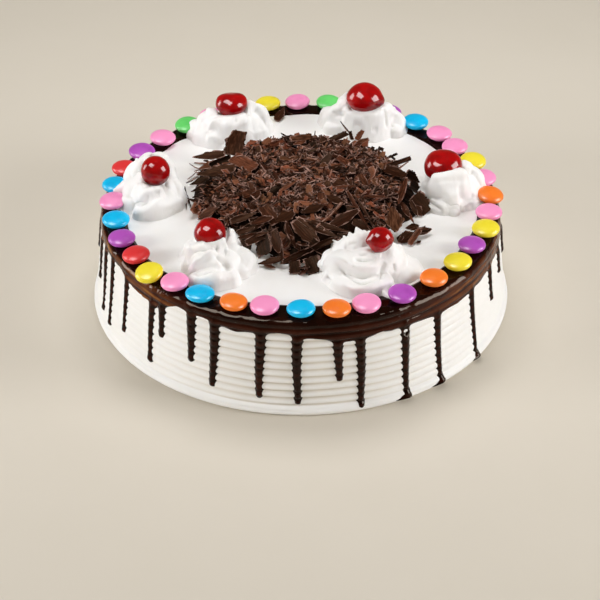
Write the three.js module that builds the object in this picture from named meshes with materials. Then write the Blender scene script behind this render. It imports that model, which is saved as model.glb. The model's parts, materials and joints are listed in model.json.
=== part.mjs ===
// Black forest cake, 200 mm (8 inch) across its top: a cream-coated cake with combed sides, a dark
// ganache ring that drips down the side, sugar-coated chocolate buttons round the rim,
// a heap of chocolate shavings and six piped cream rosettes that each hold a cherry.
//
// Millimetres, +Z up. The origin is the centre of the flat base and -Y is the front.
// Bearings are in degrees, counter-clockwise from +X, as seen from above.

import * as THREE from 'three';
import { mergeVertices } from 'three/addons/utils/BufferGeometryUtils.js';

// ---------------------------------------------------------------- driving dimensions

const TOP_HEIGHT = 50.4; // cream, from the base to the flat top
const RIM_RADIUS = 99; // cream, at the top of the side
const BASE_RADIUS = 104.2; // the side flares towards the base
const EDGE_RADIUS = 3; // rounding between side and top
const FOOT_HEIGHT = 5.2; // smooth bead below the comb marks
const FOOT_BULGE = 1.4; // the bead stands proud of the side
const FOOT_TUCK = 0.4; // it rolls in where it meets the base
const RIDGE_PITCH = 3.83; // teeth of the comb
const RIDGE_COUNT = 11;
const RIDGE_DEPTH = 0.9;
const BODY_COLUMNS = 44;

const GAP = 0.3; // between pieces that touch
const SKIN_GAP = 0.5; // ganache to cream on the round side, which leaves GAP at the flats

const GANACHE_TOP = 0.8; // thickness on the flat top
const GANACHE_SIDE = 0.9; // thickness on the side
const GANACHE_INNER_FRONT = 86; // inner edge of the ring, front
const GANACHE_INNER_BACK = 88.5; // inner edge of the ring, back
const DRIP_TOP_WIDTH = 5.4;
const DRIP_TIP_WIDTH = 2.8;
const DRIP_THICKNESS = 1.2;
const DRIP_SHOULDER = 2.2; // the band hangs lower where a drip leaves it
const BAND_LOW = 40; // lower edge of the band before the drips draw it down

// Drips round the back: evenly spaced from a first bearing up to the first one at the front,
// then swayed by sines, as (mean, sway, radians from one drip to the next).
const BACK_DRIPS = 14;
const BACK_FIRST = 356; // bearing
const BACK_BEARING = { sway: 2.2, step: 5 };
const BACK_TIP = { mean: 19, sway: 9, step: 2.4, phase: 1 };
const BACK_ARCH = { mean: 43, sway: 2, step: 3 };

// Drips round the front: bearing, height of the tip above the base, and height of the
// arch of bare cream on the drip's anticlockwise side.
const FRONT_DRIPS = [
  [192, 21, 45], [198, 9, 45], [204, 7, 46], [213, 13, 41], [225, 8, 41], [229, 25, 46],
  [239, 19, 45], [246, 9, 42], [259, 8, 44], [269, 5.5, 41], [280, 17, 38], [286, 2, 40],
  [299, 1, 39], [310, 1, 38], [325, 1, 39], [337, 20, 40], [346, 26, 41],
];

const CANDY_WIDTH = 13.5;
const CANDY_THICKNESS = 5.6;
const CANDY_COLUMNS = 10;

// Buttons round the rim: colour, bearing, distance from the axis, outward tilt.
const CANDIES = [
  ['orange', 2, 94.5, 6], ['pink', 12, 94, 0], ['yellow', 22, 95, 0], ['pink', 32, 94, 0],
  ['pink', 41, 96, 0], ['blue', 51, 96.5, 0], ['purple', 61, 96.5, 0], ['red', 71, 96.5, 0],
  ['green', 81, 96.5, 0], ['pink', 91, 96, 0], ['yellow', 100.5, 96, 0], ['orange', 110, 95, 0],
  ['pink', 120, 94, 0], ['green', 129.5, 93.5, 0], ['pink', 140.5, 93, 0], ['purple', 151, 93.5, 0],
  ['red', 162, 94, 0], ['blue', 172, 94, 0], ['pink', 181, 93.5, 0], ['blue', 191.5, 92.5, 0],
  ['purple', 202, 93.5, 0], ['red', 212, 93, 4], ['yellow', 222, 96.5, 10], ['pink', 230.5, 93.2, 5],
  ['blue', 240, 94, 0], ['orange', 250.5, 93.5, 0], ['pink', 259.5, 92.5, 0], ['blue', 270, 93.5, 0],
  ['orange', 280, 94.8, 0], ['pink', 288.7, 94.4, 0], ['purple', 300, 94.4, 6], ['orange', 312.3, 93, 0],
  ['yellow', 323.4, 93, 0], ['purple', 333.5, 92, 0], ['yellow', 343.4, 94, 0], ['pink', 352.5, 93.5, 0],
];

const CHERRY_COLUMNS = 10;
const CHERRY_ROWS = 5;
const CUP_GAP = 0.6; // cherry to the cup's corners, which leaves GAP at its flats
const ROSETTE_COLUMNS = 16;
const ROSETTE_FLUTES = 8;
const FLUTE_DEPTH = 0.16; // share of the radius
const ROSETTE_TWIST = 80; // from the base to the lip of the cup
const LIP_WIDTH = 2;
const LIP_DROP = 0.4; // from the lip to the start of the cup
const CUP_CORNER = 55; // degrees down the cup to its flat bottom
const BUTTON_INNER = 86.8; // a rosette stays inside this radius ...
const BUTTON_TOP = 9; // ... up to this height over the cream

// Rosettes: base centre, base radius, height of the lip; then the cherry in its cup: centre,
// height of its middle over the cream top, width and height.
const ROSETTES = [
  {
    at: [-38, 69], radius: 17.5, lip: 14,
    cherry: { at: [-36, 70.5], lift: 16.9, width: 17.1, height: 13.2 },
  },
  {
    at: [-73, 3], radius: 18, lip: 16,
    cherry: { at: [-72, 4], lift: 17.6, width: 15, height: 15.6 },
  },
  {
    at: [-39, -55], radius: 18.5, lip: 14.5,
    cherry: { at: [-43, -50], lift: 16.6, width: 16, height: 14.6 },
  },
  {
    at: [30, -61], radius: 19, lip: 15.5,
    cherry: { at: [37.4, -58.5], lift: 18.4, width: 12.8, height: 12.4 },
  },
  {
    at: [73, 8], radius: 18, lip: 15.5,
    cherry: { at: [71, 10.5], lift: 17, width: 20, height: 14 },
  },
  {
    at: [34, 72], radius: 19, lip: 15.5,
    cherry: { at: [33.5, 74], lift: 18.6, width: 19.6, height: 15.6 },
  },
];

// Shavings: uneven outline of the heap and its height over the cream.
const HEAP_HEIGHT = 11;
const HEAP_COLUMNS = 40;
const HEAP_CENTRE = [2, 2];
const HEAP_LUMP = 1.1; // height of the lumps on its top ...
const HEAP_LUMP_X = 6; // ... and their size, as mm for each radian
const HEAP_LUMP_Y = 7;
const HEAP_OUTLINE = [
  [-55, 36], [-58, 12], [-55, -9], [-45, -21], [-25, -36], [-18, -50], [-4, -62], [9, -60],
  [19, -38], [42, -27], [62, -10], [60, 17], [50, 35], [32, 56], [4, 63], [-28, 54],
];

// ---------------------------------------------------------------- materials

const finish = (color, roughness) => (
  new THREE.MeshStandardMaterial({ color, roughness, metalness: 0 })
);

const CREAM = finish('#f7f4f0', 0.55);
const GANACHE = finish('#230f0a', 0.12);
const SHAVINGS = finish('#4b322a', 0.5);
const CHERRY = finish('#a8000c', 0.06);
const SHELL = {
  pink: finish('#ff96cd', 0.25),
  yellow: finish('#f5e63c', 0.25),
  blue: finish('#1eb4f0', 0.25),
  purple: finish('#af46b4', 0.25),
  orange: finish('#ff7a23', 0.25),
  red: finish('#eb3237', 0.25),
  green: finish('#5fd764', 0.25),
};

// ---------------------------------------------------------------- helpers

const radians = (degrees) => (degrees * Math.PI) / 180;
const wallRadius = (height) => BASE_RADIUS + ((RIM_RADIUS - BASE_RADIUS) * height) / TOP_HEIGHT;
const SIDE_TOP = TOP_HEIGHT - EDGE_RADIUS; // where the side starts to round over
const EDGE_CENTRE = wallRadius(SIDE_TOP) - EDGE_RADIUS;
const skinRadius = (height) => (
  wallRadius(height) + (height < FOOT_HEIGHT ? FOOT_BULGE : 0) + SKIN_GAP
);
const onCircle = (bearing, radius, height) => new THREE.Vector3(
  radius * Math.cos(radians(bearing)),
  radius * Math.sin(radians(bearing)),
  height,
);

// Joins the doubled corners of a three.js shape and drops the empty triangles at its poles.
function weld(geometry) {
  geometry.deleteAttribute('normal');
  geometry.deleteAttribute('uv');
  const welded = mergeVertices(geometry, 1e-4);
  const index = welded.getIndex().array;
  const kept = [];
  for (let i = 0; i < index.length; i += 3) {
    const [a, b, c] = index.slice(i, i + 3);
    if (a !== b && b !== c && c !== a) kept.push(a, b, c);
  }
  welded.setIndex(kept);
  return welded;
}

// A solid of revolution about Z. Column 0 faces -Y and the columns run anticlockwise.
function lathe(profile, columns) {
  const points = profile.map(([radius, height]) => new THREE.Vector2(radius, height));
  return weld(new THREE.LatheGeometry(points, columns).rotateX(Math.PI / 2));
}

// Moves every corner of a welded shape by a rule that is given the corner.
function reshape(geometry, rule) {
  const position = geometry.getAttribute('position');
  const corner = new THREE.Vector3();
  for (let i = 0; i < position.count; i += 1) {
    corner.fromBufferAttribute(position, i);
    const moved = rule(corner);
    position.setXYZ(i, moved.x, moved.y, moved.z);
  }
  return geometry;
}

// Column number of a lathe's corner, from 0 at -Y.
function columnOf(corner, columns) {
  const turn = Math.atan2(corner.x, -corner.y) / (2 * Math.PI);
  return (Math.round(turn * columns) + columns) % columns;
}

function named(name, geometry, material) {
  const mesh = new THREE.Mesh(geometry, material);
  mesh.name = name;
  return mesh;
}

const twoDigits = (number) => String(number).padStart(2, '0');

// ---------------------------------------------------------------- cake body

// One solid: foot bead, eleven combed ridges, rounded edge and flat top.
function cakeBody() {
  const profile = [
    [0, 0],
    [BASE_RADIUS - FOOT_TUCK, 0],
    [BASE_RADIUS + FOOT_BULGE * 0.8, FOOT_HEIGHT * 0.27],
    [wallRadius(FOOT_HEIGHT / 2) + FOOT_BULGE, FOOT_HEIGHT * 0.65],
  ];
  for (let ridge = 0; ridge < RIDGE_COUNT; ridge += 1) {
    const groove = FOOT_HEIGHT + ridge * RIDGE_PITCH;
    const crest = groove + RIDGE_PITCH / 2;
    profile.push([wallRadius(groove) - RIDGE_DEPTH, groove], [wallRadius(crest), crest]);
  }
  for (const angle of [0, 45, 90]) {
    profile.push([
      EDGE_CENTRE + EDGE_RADIUS * Math.cos(radians(angle)),
      SIDE_TOP + EDGE_RADIUS * Math.sin(radians(angle)),
    ]);
  }
  profile.push([0, TOP_HEIGHT]);
  return named('cake_body', lathe(profile, BODY_COLUMNS), CREAM);
}

// ---------------------------------------------------------------- ganache

// All drips in order of bearing: the front ones as listed, then uneven ones at the back.
function allDrips() {
  const spacing = (360 + FRONT_DRIPS[0][0] - BACK_FIRST) / BACK_DRIPS;
  const drips = FRONT_DRIPS.map(([bearing, tip, arch]) => ({ bearing, tip, arch }));
  for (let i = 0; i < BACK_DRIPS; i += 1) {
    drips.push({
      bearing: BACK_FIRST + i * spacing + BACK_BEARING.sway * Math.sin(BACK_BEARING.step * i),
      tip: BACK_TIP.mean + BACK_TIP.sway * Math.sin(BACK_TIP.step * i + BACK_TIP.phase),
      arch: BACK_ARCH.mean + BACK_ARCH.sway * Math.sin(BACK_ARCH.step * i),
    });
  }
  return drips;
}

// Columns of the ring, anticlockwise: the two shoulders and the two tip corners of each
// drip, then the top of the arch of bare cream beside it.
function ganacheColumns(drips) {
  const degreesPerMm = THREE.MathUtils.radToDeg(1 / wallRadius(SIDE_TOP));
  const shoulder = (DRIP_TOP_WIDTH / 2) * degreesPerMm;
  const corner = (DRIP_TIP_WIDTH / 2) * degreesPerMm;
  return drips.flatMap(({ bearing, tip, arch }, i) => {
    const next = drips[(i + 1) % drips.length];
    const step = (next.bearing - bearing + 360) % 360;
    const before = drips.at(i - 1).arch;
    return [
      { bearing: bearing - shoulder, low: before - DRIP_SHOULDER, thickness: GANACHE_SIDE },
      { bearing: bearing - corner, low: tip, thickness: DRIP_THICKNESS },
      { bearing: bearing + corner, low: tip, thickness: DRIP_THICKNESS },
      { bearing: bearing + shoulder, low: arch - DRIP_SHOULDER, thickness: GANACHE_SIDE },
      { bearing: bearing + step / 2, low: arch, thickness: GANACHE_SIDE },
    ];
  });
}

// The whole coat is one ring, closed in section: inner lip, top, rounded edge, side, lower
// edge, and back along the cream. Each column then draws its lower edge down to its own
// height, so the drips are part of the ring.
function ganache() {
  const columns = ganacheColumns(allDrips());
  const arc = (radius, angle) => [
    EDGE_CENTRE + radius * Math.cos(radians(angle)),
    SIDE_TOP + radius * Math.sin(radians(angle)),
  ];
  const inside = EDGE_RADIUS + SKIN_GAP;
  const outside = EDGE_RADIUS + GAP + GANACHE_TOP;
  const section = [
    arc(inside, 0),
    [skinRadius(BAND_LOW), BAND_LOW],
    [skinRadius(BAND_LOW) + GANACHE_SIDE, BAND_LOW + GANACHE_SIDE],
    [skinRadius(SIDE_TOP) + GANACHE_SIDE, SIDE_TOP],
    arc(outside, 45),
    arc(outside, 90),
    [GANACHE_INNER_FRONT + GANACHE_TOP, TOP_HEIGHT + GAP + GANACHE_TOP],
    [GANACHE_INNER_FRONT, TOP_HEIGHT + GAP],
    [EDGE_CENTRE, TOP_HEIGHT + GAP],
    arc(inside, 45),
    arc(inside, 0),
  ];
  const geometry = reshape(lathe(section, columns.length), (corner) => {
    const { bearing, low, thickness } = columns[columnOf(corner, columns.length)];
    let radius = Math.hypot(corner.x, corner.y);
    let height = corner.z;
    if (height < SIDE_TOP - GAP) {
      const outer = radius > skinRadius(height) + GANACHE_SIDE / 2;
      height = low + (outer ? thickness : 0);
      radius = skinRadius(low) + (outer ? thickness : 0);
    }
    if (radius < EDGE_CENTRE - GANACHE_SIDE) {
      const back = (1 + Math.sin(radians(bearing))) / 2;
      radius += back * (GANACHE_INNER_BACK - GANACHE_INNER_FRONT);
    }
    return onCircle(bearing, radius, height);
  });
  return named('ganache_drip', geometry, GANACHE);
}

// ---------------------------------------------------------------- candy buttons

// A lentil with a soft edge, lying on the ganache ring or tilted outwards over its edge.
function candy([colour, bearing, distance, tilt], number) {
  const a = CANDY_WIDTH / 2;
  const c = CANDY_THICKNESS / 2;
  const profile = [[0, -c], [a * 0.7, -c * 0.7], [a, 0], [a * 0.7, c * 0.7], [0, c]];
  const mesh = named(`candy_${twoDigits(number + 1)}`, lathe(profile, CANDY_COLUMNS), SHELL[colour]);
  const lowest = Math.hypot(a * Math.sin(radians(tilt)), c * Math.cos(radians(tilt)));
  mesh.position.copy(onCircle(bearing, distance, TOP_HEIGHT + GAP + GANACHE_TOP + GAP + lowest));
  mesh.rotation.set(0, radians(tilt), radians(bearing), 'ZYX');
  return mesh;
}

// ---------------------------------------------------------------- rosettes and cherries

// A piped swirl: fluted and twisted outside, its lip rolled in to a cup under the cherry.
function rosette({ at, radius, lip, cherry: held }, number) {
  const cupRadius = held.width / 2 + CUP_GAP;
  const cupDepth = held.height / 2 + CUP_GAP;
  const cup = (angle) => [
    cupRadius * Math.cos(radians(angle)),
    held.lift - cupDepth * Math.sin(radians(angle)),
  ];
  const lipAngle = THREE.MathUtils.radToDeg(Math.asin((held.lift - lip + LIP_DROP) / cupDepth));
  const lipRadius = cup(lipAngle)[0];
  const profile = [
    [0, 0],
    [radius * 0.94, 0],
    [radius, lip * 0.22],
    [radius * 0.94, lip * 0.54],
    [(radius * 0.86 + lipRadius) / 2, lip * 0.85],
    [lipRadius + LIP_WIDTH, lip],
    cup(lipAngle),
    cup(CUP_CORNER),
    [0, held.lift - cupDepth],
  ];
  const lean = [held.at[0] - at[0], held.at[1] - at[1]];
  const geometry = reshape(lathe(profile, ROSETTE_COLUMNS), (corner) => {
    const distance = Math.hypot(corner.x, corner.y);
    const outwards = THREE.MathUtils.clamp((distance - lipRadius) / (radius - lipRadius), 0, 1);
    const underside = corner.z === 0;
    const start = Math.atan2(corner.y, corner.x);
    const furrow = (1 - Math.cos(ROSETTE_FLUTES * start)) / 2;
    const flute = 1 - FLUTE_DEPTH * outwards * furrow;
    const share = underside ? 0 : 1 - outwards;
    const angle = start + (underside ? 0 : radians(ROSETTE_TWIST) * (1 - outwards));
    const x = at[0] + lean[0] * share + distance * flute * Math.cos(angle);
    const y = at[1] + lean[1] * share + distance * flute * Math.sin(angle);
    const inside = corner.z < BUTTON_TOP ? Math.min(1, BUTTON_INNER / Math.hypot(x, y)) : 1;
    return new THREE.Vector3(x * inside, y * inside, corner.z);
  });
  const mesh = named(`cream_rosette_${number + 1}`, geometry, CREAM);
  mesh.position.z = TOP_HEIGHT + GAP;
  return mesh;
}

function cherry({ cherry: held }, number) {
  const ball = new THREE.SphereGeometry(0.5, CHERRY_COLUMNS, CHERRY_ROWS);
  const geometry = weld(ball.rotateX(Math.PI / 2));
  geometry.scale(held.width, held.width, held.height);
  const mesh = named(`cherry_${number + 1}`, geometry, CHERRY);
  mesh.position.set(held.at[0], held.at[1], TOP_HEIGHT + GAP + held.lift);
  return mesh;
}

// ---------------------------------------------------------------- chocolate shavings

// Keeps a point of the heap's outline clear of every rosette's base.
function clearOfRosettes(point) {
  for (const { at, radius } of ROSETTES) {
    const away = new THREE.Vector2(point.x - at[0], point.y - at[1]);
    const short = radius + 2 * GAP - away.length();
    if (short > 0) {
      away.setLength(short);
      point.x += away.x;
      point.y += away.y;
    }
  }
  return point;
}

// One lumpy mound: the space that hundreds of separate shavings fill.
function shavingsHeap() {
  const outline = new THREE.CatmullRomCurve3(
    HEAP_OUTLINE.map(([x, y]) => new THREE.Vector3(x, y, 0)),
    true,
  );
  const edge = [];
  for (let i = 0; i < HEAP_COLUMNS; i += 1) {
    edge.push(clearOfRosettes(outline.getPointAt(i / HEAP_COLUMNS)));
  }
  const profile = [[0, 0], [0.97, 0], [1, 0.2], [0.9, 0.6], [0.68, 0.88], [0.36, 1], [0, 1]];
  const geometry = reshape(lathe(profile, HEAP_COLUMNS), (corner) => {
    const share = Math.hypot(corner.x, corner.y);
    const towards = share > 0 ? edge[columnOf(corner, HEAP_COLUMNS)] : new THREE.Vector3();
    const x = HEAP_CENTRE[0] + share * (towards.x - HEAP_CENTRE[0]);
    const y = HEAP_CENTRE[1] + share * (towards.y - HEAP_CENTRE[1]);
    const lump = corner.z > 0.5 ? HEAP_LUMP * Math.sin(x / HEAP_LUMP_X) * Math.cos(y / HEAP_LUMP_Y) : 0;
    if (share === 0) return new THREE.Vector3(...HEAP_CENTRE, corner.z * HEAP_HEIGHT);
    return new THREE.Vector3(x, y, corner.z * HEAP_HEIGHT + lump);
  });
  const mesh = named('chocolate_shavings', geometry, SHAVINGS);
  mesh.position.z = TOP_HEIGHT + GAP;
  return mesh;
}

// ---------------------------------------------------------------- assembly

const cake = new THREE.Group();
cake.add(cakeBody());
cake.add(ganache());
cake.add(shavingsHeap());
CANDIES.forEach((entry, number) => cake.add(candy(entry, number)));
ROSETTES.forEach((entry, number) => cake.add(rosette(entry, number)));
ROSETTES.forEach((entry, number) => cake.add(cherry(entry, number)));

export default cake;
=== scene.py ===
"""Black forest cake: the looks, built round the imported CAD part.

Lengths are in millimetres and turn into metres only when a mesh, a light or the camera is
made. +Z is up, -Y is the front, and bearings run anticlockwise from +X, seen from above.
"""
# %% [markdown]
# # A black forest cake
# A round sponge is coated with whipped cream, and a toothed comb is held against the turning
# side, which leaves level ridges. Warm ganache is run round the rim and drips down the side.
# Sugar-coated chocolate buttons, six piped rosettes with a cherry each and a heap of shaved
# dark chocolate finish the top. Every one of these is a surface worked out with numpy here.

import json

import bpy
import numpy as np
from mathutils import Matrix, Vector


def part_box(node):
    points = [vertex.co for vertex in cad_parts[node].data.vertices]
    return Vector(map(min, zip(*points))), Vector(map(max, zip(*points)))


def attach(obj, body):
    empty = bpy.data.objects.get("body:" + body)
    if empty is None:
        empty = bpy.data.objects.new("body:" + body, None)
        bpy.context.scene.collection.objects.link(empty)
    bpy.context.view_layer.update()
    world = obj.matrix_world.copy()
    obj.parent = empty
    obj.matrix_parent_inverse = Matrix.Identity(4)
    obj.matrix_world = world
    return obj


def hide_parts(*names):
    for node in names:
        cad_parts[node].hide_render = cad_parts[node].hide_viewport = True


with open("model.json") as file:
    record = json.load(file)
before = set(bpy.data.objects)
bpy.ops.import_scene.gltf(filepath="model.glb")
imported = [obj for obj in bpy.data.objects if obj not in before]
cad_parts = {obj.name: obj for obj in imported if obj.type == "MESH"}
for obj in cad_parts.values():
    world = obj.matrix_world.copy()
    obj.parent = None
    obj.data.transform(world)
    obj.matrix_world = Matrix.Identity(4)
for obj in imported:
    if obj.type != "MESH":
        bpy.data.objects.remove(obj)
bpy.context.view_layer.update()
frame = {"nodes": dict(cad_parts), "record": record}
print("CAD nodes in the frame:", len(frame["nodes"]))

# %% [markdown]
# ## The measures that everything shares
# The CAD part was made from a few driving sizes. Its box gives where each piece is, but not
# how the side flares or how the comb is spaced, so those sizes are named again here.

# %% Sizes of the cream
TOP_HEIGHT = 50.4  # flat top of the cream over the base
RIM_RADIUS = 99.0
BASE_RADIUS = 104.2
EDGE_RADIUS = 3.0  # rounding between side and top
FOOT_HEIGHT = 5.2  # smooth bead under the comb marks
RIDGE_PITCH = 3.83  # teeth of the comb
RIDGE_DEPTH = 0.9

SIDE_TOP = TOP_HEIGHT - EDGE_RADIUS
FLARE = (BASE_RADIUS - RIM_RADIUS) / TOP_HEIGHT  # mm outwards for each mm down
EDGE_CENTRE = BASE_RADIUS - FLARE * SIDE_TOP - EDGE_RADIUS
ROUND = EDGE_RADIUS * np.pi / 2  # length of the rounded edge
MM = 0.001
print("cream top", TOP_HEIGHT, "mm; flat part", round(EDGE_CENTRE, 1), "mm in radius")

# %% [markdown]
# ## Unevenness by sums of waves
# Nothing on a cake is exact. A cheap smooth noise is the sum of a few sine waves that run in
# random directions with nearly the same wavelength. It works on whole arrays of points, and
# its seed makes it the same on each run.

# %% Noise and small helpers


def ripple(points, wavelength, seed, waves=10):
    """Mean of sine waves in random directions, scaled so that most values lie within -1 and 1."""
    rng = np.random.default_rng(seed)
    direction = rng.normal(size=(waves, 3))
    direction /= np.linalg.norm(direction, axis=1, keepdims=True)
    length = wavelength * rng.uniform(0.7, 1.5, (waves, 1))
    phase = rng.uniform(0, 2 * np.pi, waves)
    angle = points @ (2 * np.pi * direction / length).T + phase
    return np.sin(angle).mean(axis=-1) * 0.55 * np.sqrt(2 * waves)


def polar(bearing, radius, height):
    """Points at a bearing in radians, a distance from the axis and a height."""
    return np.stack(
        np.broadcast_arrays(radius * np.cos(bearing), radius * np.sin(bearing), height), -1
    )


def bell(distance, width):
    """A bump that is 1 at distance 0 and falls off within about one width."""
    return np.exp(-((distance / width) ** 2))


def unit(vectors):
    """The same directions with length 1."""
    return vectors / np.linalg.norm(vectors, axis=-1, keepdims=True)


sample = ripple(polar(np.linspace(0, 2 * np.pi, 360), RIM_RADIUS, TOP_HEIGHT), 25, 2)
print("a ripple round the rim lies between", sample.min().round(2), "and", sample.max().round(2))

# %% [markdown]
# ## From arrays to meshes
# A skin is a grid of points: neighbouring rows are joined by quads, and a fan of triangles
# closes each end. A closed skin knows its own inside: if the volume that its faces enclose
# comes out negative, all faces are turned round.

# %% Grids and closed skins


def grid_quads(rows, columns, ring=True):
    """Quads between neighbouring rows of a grid; in a ring the last column meets the first."""
    row = np.arange(rows - 1)[:, None] * columns
    here = np.arange(columns if ring else columns - 1)[None, :]
    there = (here + 1) % columns
    quads = [row + here, row + there, row + columns + there, row + columns + here]
    return np.stack(quads, -1).reshape(-1, 4)


def capped(rings):
    """A closed skin through rings of points (rows, columns, 3), with a fan at each end."""
    rows, columns = rings.shape[:2]
    ends = [rings[:1].mean(axis=1), rings[-1:].mean(axis=1)]
    points = np.concatenate([rings.reshape(-1, 3), *ends])
    here = np.arange(columns)
    there = np.roll(here, -1)
    pole = np.full(columns, rows * columns)
    last = (rows - 1) * columns
    fans = [np.stack([there, here, pole], 1), np.stack([here + last, there + last, pole + 1], 1)]
    return points, [grid_quads(rows, columns), np.concatenate(fans)]


def joined(shapes):
    """Several shapes, each (points, [faces, ...]), as one."""
    points, faces, start = [], [], 0
    for corner, groups in shapes:
        points.append(corner)
        faces += [group + start for group in groups]
        start += len(corner)
    return np.concatenate(points), faces


def rim_quads(quads, count):
    """Quads that join each open edge of a sheet to the same edge of its copy, whose points are
    numbered higher by count. An edge is open if no neighbour runs along it the other way."""
    start, end = quads.ravel(), np.roll(quads, -1, axis=1).ravel()
    lonely = ~np.isin(start * count + end, end * count + start)
    a, b = start[lonely], end[lonely]
    return np.stack([b, a, a + count, b + count], 1)


def lined(outer, inner, keep, ring=True):
    """A thick sheet between two grids of points: the quads with a corner where keep holds, the
    inner grid's quads turned round, and a rim along every open edge. Returns points, faces and
    the numbers of the points that are used."""
    rows, columns = outer.shape[:2]
    quads = grid_quads(rows, columns, ring)
    quads = quads[keep.ravel()[quads].any(axis=1)]
    count = rows * columns
    faces = np.concatenate([quads, quads[:, ::-1] + count, rim_quads(quads, count)])
    used, renumbered = np.unique(faces, return_inverse=True)
    points = np.concatenate([outer.reshape(-1, 3), inner.reshape(-1, 3)])[used]
    return points, [renumbered.reshape(faces.shape)], used


def globe(rows, columns):
    """Latitudes and turns, in radians, of the grid round a ball, without its poles."""
    latitude = np.linspace(-np.pi / 2, np.pi / 2, rows)[1:-1, None]
    return latitude, np.linspace(0, 2 * np.pi, columns, endpoint=False)[None, :]


print("a ring of 4 rows with 10 points each has", len(grid_quads(4, 10)), "quads")

# %% Meshes and pieces


def facing_out(points, faces):
    """Six times the volume is the sum of a . (b x c) over the triangles; if it is negative,
    the faces are reversed."""
    volume = 0.0
    for group in faces:
        for second in range(1, group.shape[1] - 1):
            a, b, c = points[group[:, 0]], points[group[:, second]], points[group[:, second + 1]]
            volume += (a * np.cross(b, c)).sum()
    return faces if volume > 0 else [group[:, ::-1] for group in faces]


def mesh_from(name, points, faces, values=None, flat_groups=0):
    """A mesh in metres, with a number or a vector for each point under each given name. It is
    shaded smooth, but for the last flat_groups groups of faces."""
    mesh = bpy.data.meshes.new(name)
    sides = np.concatenate([np.full(len(group), group.shape[1]) for group in faces])
    corners = np.concatenate([group.ravel() for group in faces]).astype(np.int32)
    mesh.vertices.add(len(points))
    mesh.vertices.foreach_set("co", (points * MM).astype(np.float32).ravel())
    mesh.loops.add(len(corners))
    mesh.loops.foreach_set("vertex_index", corners)
    mesh.polygons.add(len(sides))
    starts = np.concatenate([[0], np.cumsum(sides)[:-1]]).astype(np.int32)
    mesh.polygons.foreach_set("loop_start", starts)
    smooth = [index < len(faces) - flat_groups for index in range(len(faces))]
    mesh.polygons.foreach_set("use_smooth", np.repeat(smooth, [len(group) for group in faces]))
    mesh.update(calc_edges=True)
    for key, numbers in (values or {}).items():
        kind, field = ("FLOAT", "value") if numbers.ndim == 1 else ("FLOAT_VECTOR", "vector")
        layer = mesh.attributes.new(key, kind, "POINT")
        layer.data.foreach_set(field, numbers.astype(np.float32).ravel())
    return mesh


def piece(mesh, finish, slot, nodes):
    """Puts a mesh in the scene as a piece of the cake that stands for the given CAD nodes."""
    thing = bpy.data.objects.new(mesh.name, mesh)
    bpy.context.scene.collection.objects.link(thing)
    mesh.materials.append(finish)
    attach(thing, "root")
    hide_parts(*nodes)
    triangles = sum(len(polygon.vertices) - 2 for polygon in mesh.polygons)
    print(f"{thing.name}: {triangles} triangles")
    return thing


# %% [markdown]
# ## Finishes
# A finish is a small node tree round one Principled shader. Colours are written as sRGB hex
# values, as a paint chart gives them, and Blender computes in linear light, so one function
# turns them over. Patterns read Object coordinates, which are metres on the cake itself, so a
# noise with scale 1 / size has lumps of about that size.

# %% Nodes and colours


def linear(code):
    """sRGB hex to linear light: v / 12.92 near black, ((v + 0.055) / 1.055) ** 2.4 above."""
    value = np.array([int(code[i : i + 2], 16) / 255 for i in (1, 3, 5)])
    curve = np.where(value <= 0.04045, value / 12.92, ((value + 0.055) / 1.055) ** 2.4)
    return (*curve, 1.0)


def add(tree, kind, settings):
    """Adds a node. A setting is a node property, a socket's value or the socket to link from."""
    node = tree.nodes.new("ShaderNode" + kind)
    for key, value in settings.items():
        if key not in node.inputs:
            setattr(node, key, value)
        elif isinstance(value, bpy.types.NodeSocket):
            tree.links.new(value, node.inputs[key])
        else:
            node.inputs[key].default_value = value
    return node


def new_finish(name):
    """An empty material: its tree, its Object coordinates and a function that closes it."""
    finish = bpy.data.materials.new(name)
    finish.use_nodes = True
    tree = finish.node_tree
    tree.nodes.clear()
    place = add(tree, "TexCoord", {}).outputs["Object"]

    def close(shader):
        add(tree, "OutputMaterial", {"Surface": shader.outputs[0]})
        print(f"{name}: {len(tree.nodes)} nodes")
        return finish

    return tree, place, close


def shades(tree, amount, *codes):
    """A colour ramp that spreads the given hex colours evenly over 0 to 1."""
    node = add(tree, "ValToRGB", {"Fac": amount})
    ramp = node.color_ramp
    for number, code in enumerate(codes):
        at = number / (len(codes) - 1)
        stop = ramp.elements[number] if number < 2 else ramp.elements.new(at)
        stop.position = at
        stop.color = linear(code)
    return node.outputs["Color"]


def lumps(tree, place, size, detail):
    """Smooth noise from 0 to 1 whose lumps have a size in the unit of the coordinates."""
    node = add(tree, "TexNoise", {"Vector": place, "Scale": 1 / size, "Detail": detail})
    return node.outputs["Fac"]


def remap(tree, value, before, after):
    """Spreads the range before over the range after, and holds what lies outside at its ends."""
    return add(tree, "MapRange", {
        "Value": value, "From Min": before[0], "From Max": before[1],
        "To Min": after[0], "To Max": after[1],
    }).outputs["Result"]


def sums(tree, operation, *numbers):
    """One step of arithmetic with numbers and sockets."""
    node = add(tree, "Math", {"operation": operation})
    for socket, number in zip(node.inputs, numbers):
        if isinstance(number, bpy.types.NodeSocket):
            tree.links.new(number, socket)
        else:
            socket.default_value = number
    return node.outputs[0]


def bumped(tree, height, strength, distance, **under):
    """A normal that leans as if the surface rose by up to distance, in metres."""
    settings = {"Height": height, "Strength": strength, "Distance": distance, **under}
    return add(tree, "Bump", settings).outputs["Normal"]


def carried(tree, key, output="Fac"):
    """What the mesh carries for each point under a name."""
    return add(tree, "Attribute", {"attribute_name": key}).outputs[output]


print("the grey #808080 is", round(float(linear("#808080")[0]), 3), "in linear light")

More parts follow.
